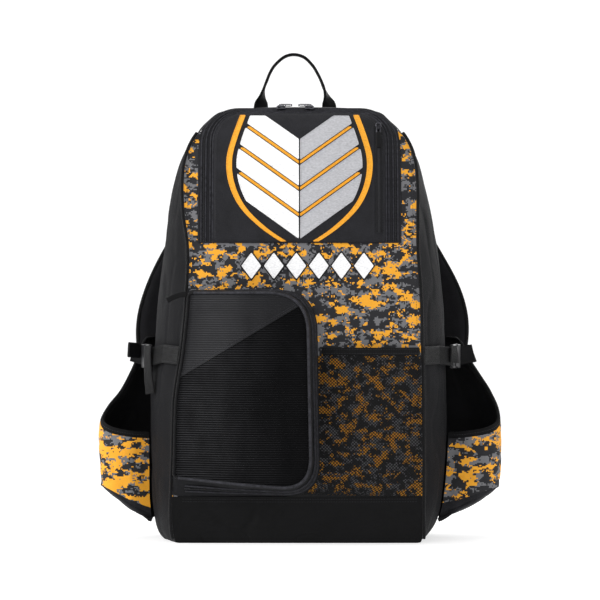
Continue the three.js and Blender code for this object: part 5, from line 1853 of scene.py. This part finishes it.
root = stack(seam_x(DOOR_TOP) - 1.4, seam_y(DOOR_TOP) - 10, DOOR_TOP - 3.0)
share = np.linspace(0, 1, 22)[:, None]
path = root + share * (-25, 5, 0) + share**2 * (0, 0, -8)
piece("box_pocket_pull", sweep(path, UP, strap_profile(7, WEBBING)), WEB, "box_pocket_zip_pull")


# Sewn-on shapes: a plain device of chevrons on the flap and a row of diamonds below it

SHAPE_STEP = 2.4


def shapes(name, outlines, material, face, lift, thickness=0.9):
    """Flat shapes of cloth with a corded edge, laid on the front."""
    every = np.concatenate([np.asarray(o, float) for o in outlines])
    (x0, z0), (x1, z1) = every.min(0) - 2, every.max(0) + 2
    count_u, count_v = int((x1 - x0) / SHAPE_STEP) + 2, int((z1 - z0) / SHAPE_STEP) + 2

    def laid(u, v):
        x, z = lerp(x0, x1, u), lerp(z0, z1, v)
        return stack(x, face(x, z) - lift, z)

    shape = cloth_sheet(laid, count_u, count_v, thickness, FRONTWARD)
    made = piece(name, shape, material, None, sharp=0)
    cut(made, ("INTERSECT", *outlines))
    paths = [on_front(outline, lift, 1.4, loop=True, face=face) for outline in outlines]
    cords = [sweep(path, FRONTWARD, circle(0.55, 6), loop=True) for path in paths]
    piece(name + "_edge", joined(cords), material, None, turn=False)


DEVICE = rows(
    "z half",
    (386, 20),
    (392, 30),
    (405, 48),
    (425, 69),
    (445, 82),
    (470, 90),
    (495, 91),
    (520, 85),
    (552, 74),
)
device_half = through(DEVICE, "z", "half")


DEVICE_TOP = 550
DEVICE_LIFT = 0.7
CHEVRON_MIDDLE = 1.3
CHEVRON_RISE = 0.72
CHEVRON_LOWS = (390, 424, 458, 492)


def on_side(points, side):
    """An outline on the right, or its mirror image, both of them anticlockwise."""
    return points if side > 0 else (points * (-1, 1))[::-1]


def chevron(side, low, thick, inset):
    """Half of a chevron that points down, ended by the device's outline and the flap's top."""
    z = np.linspace(388, DEVICE_TOP, 300)
    reach = device_half(z) - inset

    def meets(start):
        inside = z - start - CHEVRON_RISE * reach < 0
        return z[-1] if inside.all() else z[np.argmin(inside)]

    z_low, z_high = meets(low), meets(low + thick)
    lower_x = np.linspace(CHEVRON_MIDDLE, device_half(z_low) - inset, 24)
    arc_z = np.linspace(z_low, z_high, 14)
    upper_x = lower_x[::-1] * (device_half(z_high) - inset) / lower_x[-1]
    upper_x = np.maximum(upper_x, CHEVRON_MIDDLE)
    points = np.concatenate([
        np.stack([lower_x, low + CHEVRON_RISE * lower_x], 1),
        np.stack([device_half(arc_z) - inset, arc_z], 1)[1:-1],
        np.stack([upper_x, low + thick + CHEVRON_RISE * upper_x], 1),
    ])
    points[:, 1] = np.minimum(points[:, 1], DEVICE_TOP)
    keep = np.concatenate([[True], np.linalg.norm(np.diff(points, axis=0), axis=1) > 0.3])
    return on_side(points[keep], side)


def ribbon(side):
    """The orange border of half of the device."""
    z = np.linspace(387, 551, 60)
    outer, inner = device_half(z) + 2.2, np.maximum(device_half(z) - 4.2, 1.2)
    return on_side(np.concatenate([np.stack([outer, z], 1), np.stack([inner, z], 1)[::-1]]), side)


for name, side, material in (("device_white", -1, WHITE), ("device_grey", 1, SILVER)):
    shapes(name, [chevron(side, low, 26, 11) for low in CHEVRON_LOWS], material, flap_y, DEVICE_LIFT)
lines = [chevron(side, low + 28.7, 2.8, 13) for low in CHEVRON_LOWS[:3] for side in (-1, 1)]
shapes("device_orange", lines + [ribbon(-1), ribbon(1)], ORANGE, flap_y, DEVICE_LIFT)


def diamond(x, z, half, high):
    return [(x - half, z), (x, z - high), (x + half, z), (x, z + high)]


DIAMOND_HEIGHT = 355.5
centres = [-61.6 + 28.8 * k for k in range(6)]
for name, half, high, material, *layer in (
    ("diamonds_dark", 14.0, 18.9, DARK, 0.5, 0.5),
    ("diamonds_white", 12.0, 16.2, WHITE, 1.1),
):
    shapes(name, [diamond(x, DIAMOND_HEIGHT, half, high) for x in centres], material, front_y, *layer)


# Sewing

runs = []
for z in (57.0, 53.5):
    runs.append((on_front([(-149, z), (149, z)], 0.15), FRONTWARD))
inset = arch(FLAP_HALF - 5, FLAP_BOTTOM + 4, FLAP_TOP - 4, FLAP_CORNER - 4)
runs.append((on_front(np.concatenate([inset[1:], inset[:1]]), 0.2, face=flap_y), FRONTWARD))
for side in (-1, 1):
    z = np.linspace(DOOR_TOP + 8 if side < 0 else MESH_TOP + 14, 500, 120)
    x = side * (front_half(z, side) - 4.5)
    runs.append((stack(x, front_y(x, z) - 0.15, z), FRONTWARD))
    row = np.linspace(3.2, 12.4, 200)
    for share in (0.03, 0.965):
        runs.append((gusset(row, np.full_like(row, share), side, 0.1), (side, 0, 0)))
    u = np.linspace(0.04, 0.96, 200)
    rim = BODY_HEIGHT * bat_rim(u * LAST_BAT_ROW)
    runs.append((bat_point(side, u, rim - BAT_BINDING / 2, 0.05), (side, 0, 0)))
    share = np.linspace(0.05, COMPRESSION_END - 0.02, 30)
    for off in (-9.5, 9.5):
        row = float(row_at(COMPRESSION_HEIGHT + off))
        runs.append((gusset(row, share, side, 1.6 * SEAT_GAP + WEBBING + 0.15), (side, 0, 0)))
for off in (2.6, 5.2):
    x = np.linspace(SEAM_LEFT_X + 6, DOOR_RIGHT - 12, 100)
    z = DOOR_SEAM_LEFT + SEAM_SLOPE * (x - SEAM_LEFT_X) + off
    runs.append((stack(x, door_face_y(x, z) - 0.55, z), FRONTWARD))
for z in (MESH_TOP + 2.6, MESH_TOP + MESH_BINDING - 2):
    u = np.linspace(0.02, 0.98, 120)
    runs.append((mesh_point(u, np.full_like(u, z), CLOTH + MESH_THICKNESS), FRONTWARD))
shape = beads(runs, 3.4, 2.5, 0.3, flat=0.8, sides=4)
piece("sewing", shape, SEWING, None, turn=False, sharp=0)


# Camera, floor and light, in metres

FLOOR_REACH = 7.0
FLOOR_TURN = 1.4
WALL_TOP = 6.5
# Each light's name, place, the place it points to, its size and its power in watts
LIGHTS = (
    ("key_light", (-1.5, -2.4, 2.2), (0, 0, 0.3), 1.6, 16),
    ("left_light", (-3.4, -0.6, 2.0), (0, 0, 0.55), 1.2, 75),
    ("fill_light", (2.0, -2.2, 1.2), (0, 0, 0.3), 1.8, 8),
    ("top_light", (0.1, 0.4, 2.6), (0, 0, 0.3), 1.4, 14),
    ("back_light", (0.5, 2.3, 1.3), (0, 0, 0.3), 1.5, 20),
)


def add_camera():
    data = bpy.data.cameras.new("camera")
    data.sensor_width = 36
    data.lens = 234.4
    data.clip_end = 30
    camera = bpy.data.objects.new("camera", data)
    camera.location = (0.00064, -5.11, 0.3117)
    camera.rotation_euler = (math.pi / 2, 0, 0)
    scene.collection.objects.link(camera)
    scene.camera = camera
    scene.view_settings.view_transform = "Standard"


def add_floor():
    """A round floor that rises into a wall, so that it is behind the bag from every side."""
    shader = Shader("studio_floor", roughness=0.9)
    place = shader.node("TexCoord", output=3)
    faint = shader.noise(place, 0.6, 2.0)
    base = shader.mix(shader.remap(faint, 0.3, 0.7), (0.5, 0.5, 0.5, 1), (0.54, 0.54, 0.54, 1))
    shader.surface.inputs["Emission Color"].default_value = (1, 1, 1, 1)
    shader.surface.inputs["Emission Strength"].default_value = 0.61
    floor_material = shader.finish(base)
    profile = [(0.4, 0), (FLOOR_REACH, 0)]
    for a in np.linspace(0, math.pi / 2, 16)[1:]:
        profile.append((FLOOR_REACH + FLOOR_TURN * math.sin(a), FLOOR_TURN - FLOOR_TURN * math.cos(a)))
    profile.append((FLOOR_REACH + FLOOR_TURN, WALL_TOP))
    spokes = 72
    angles = [2 * math.pi * k / spokes for k in range(spokes)]
    points = [(r * math.cos(a), r * math.sin(a), z) for r, z in profile for a in angles]
    faces = [
        (ring + k, ring + (k + 1) % spokes, ring + spokes + (k + 1) % spokes, ring + spokes + k)
        for ring in range(0, spokes * (len(profile) - 1), spokes)
        for k in range(spokes)
    ]
    faces.append(tuple(range(spokes))[::-1])
    mesh = bpy.data.meshes.new("floor")
    mesh.from_pydata(points, [], faces)
    mesh.polygons.foreach_set("use_smooth", [True] * len(mesh.polygons))
    mesh.materials.append(floor_material)
    floor = bpy.data.objects.new("floor", mesh)
    scene.collection.objects.link(floor)


def add_light():
    world = bpy.data.worlds.new("studio")
    world.use_nodes = True
    world.node_tree.nodes["Background"].inputs[0].default_value = (1, 1, 1, 1)
    world.node_tree.nodes["Background"].inputs[1].default_value = 0.4
    scene.world = world

    for name, place, target, size, power in LIGHTS:
        light = bpy.data.lights.new(name, "AREA")
        light.size = size
        light.energy = power
        made = bpy.data.objects.new(name, light)
        made.location = place
        direction = np.array(target) - np.array(place)
        yaw = math.atan2(direction[1], direction[0]) - math.pi / 2
        pitch = math.atan2(direction[2], math.hypot(direction[0], direction[1]))
        made.rotation_euler = (math.pi / 2 + pitch, 0, yaw)
        scene.collection.objects.link(made)


add_camera()
add_floor()
add_light()
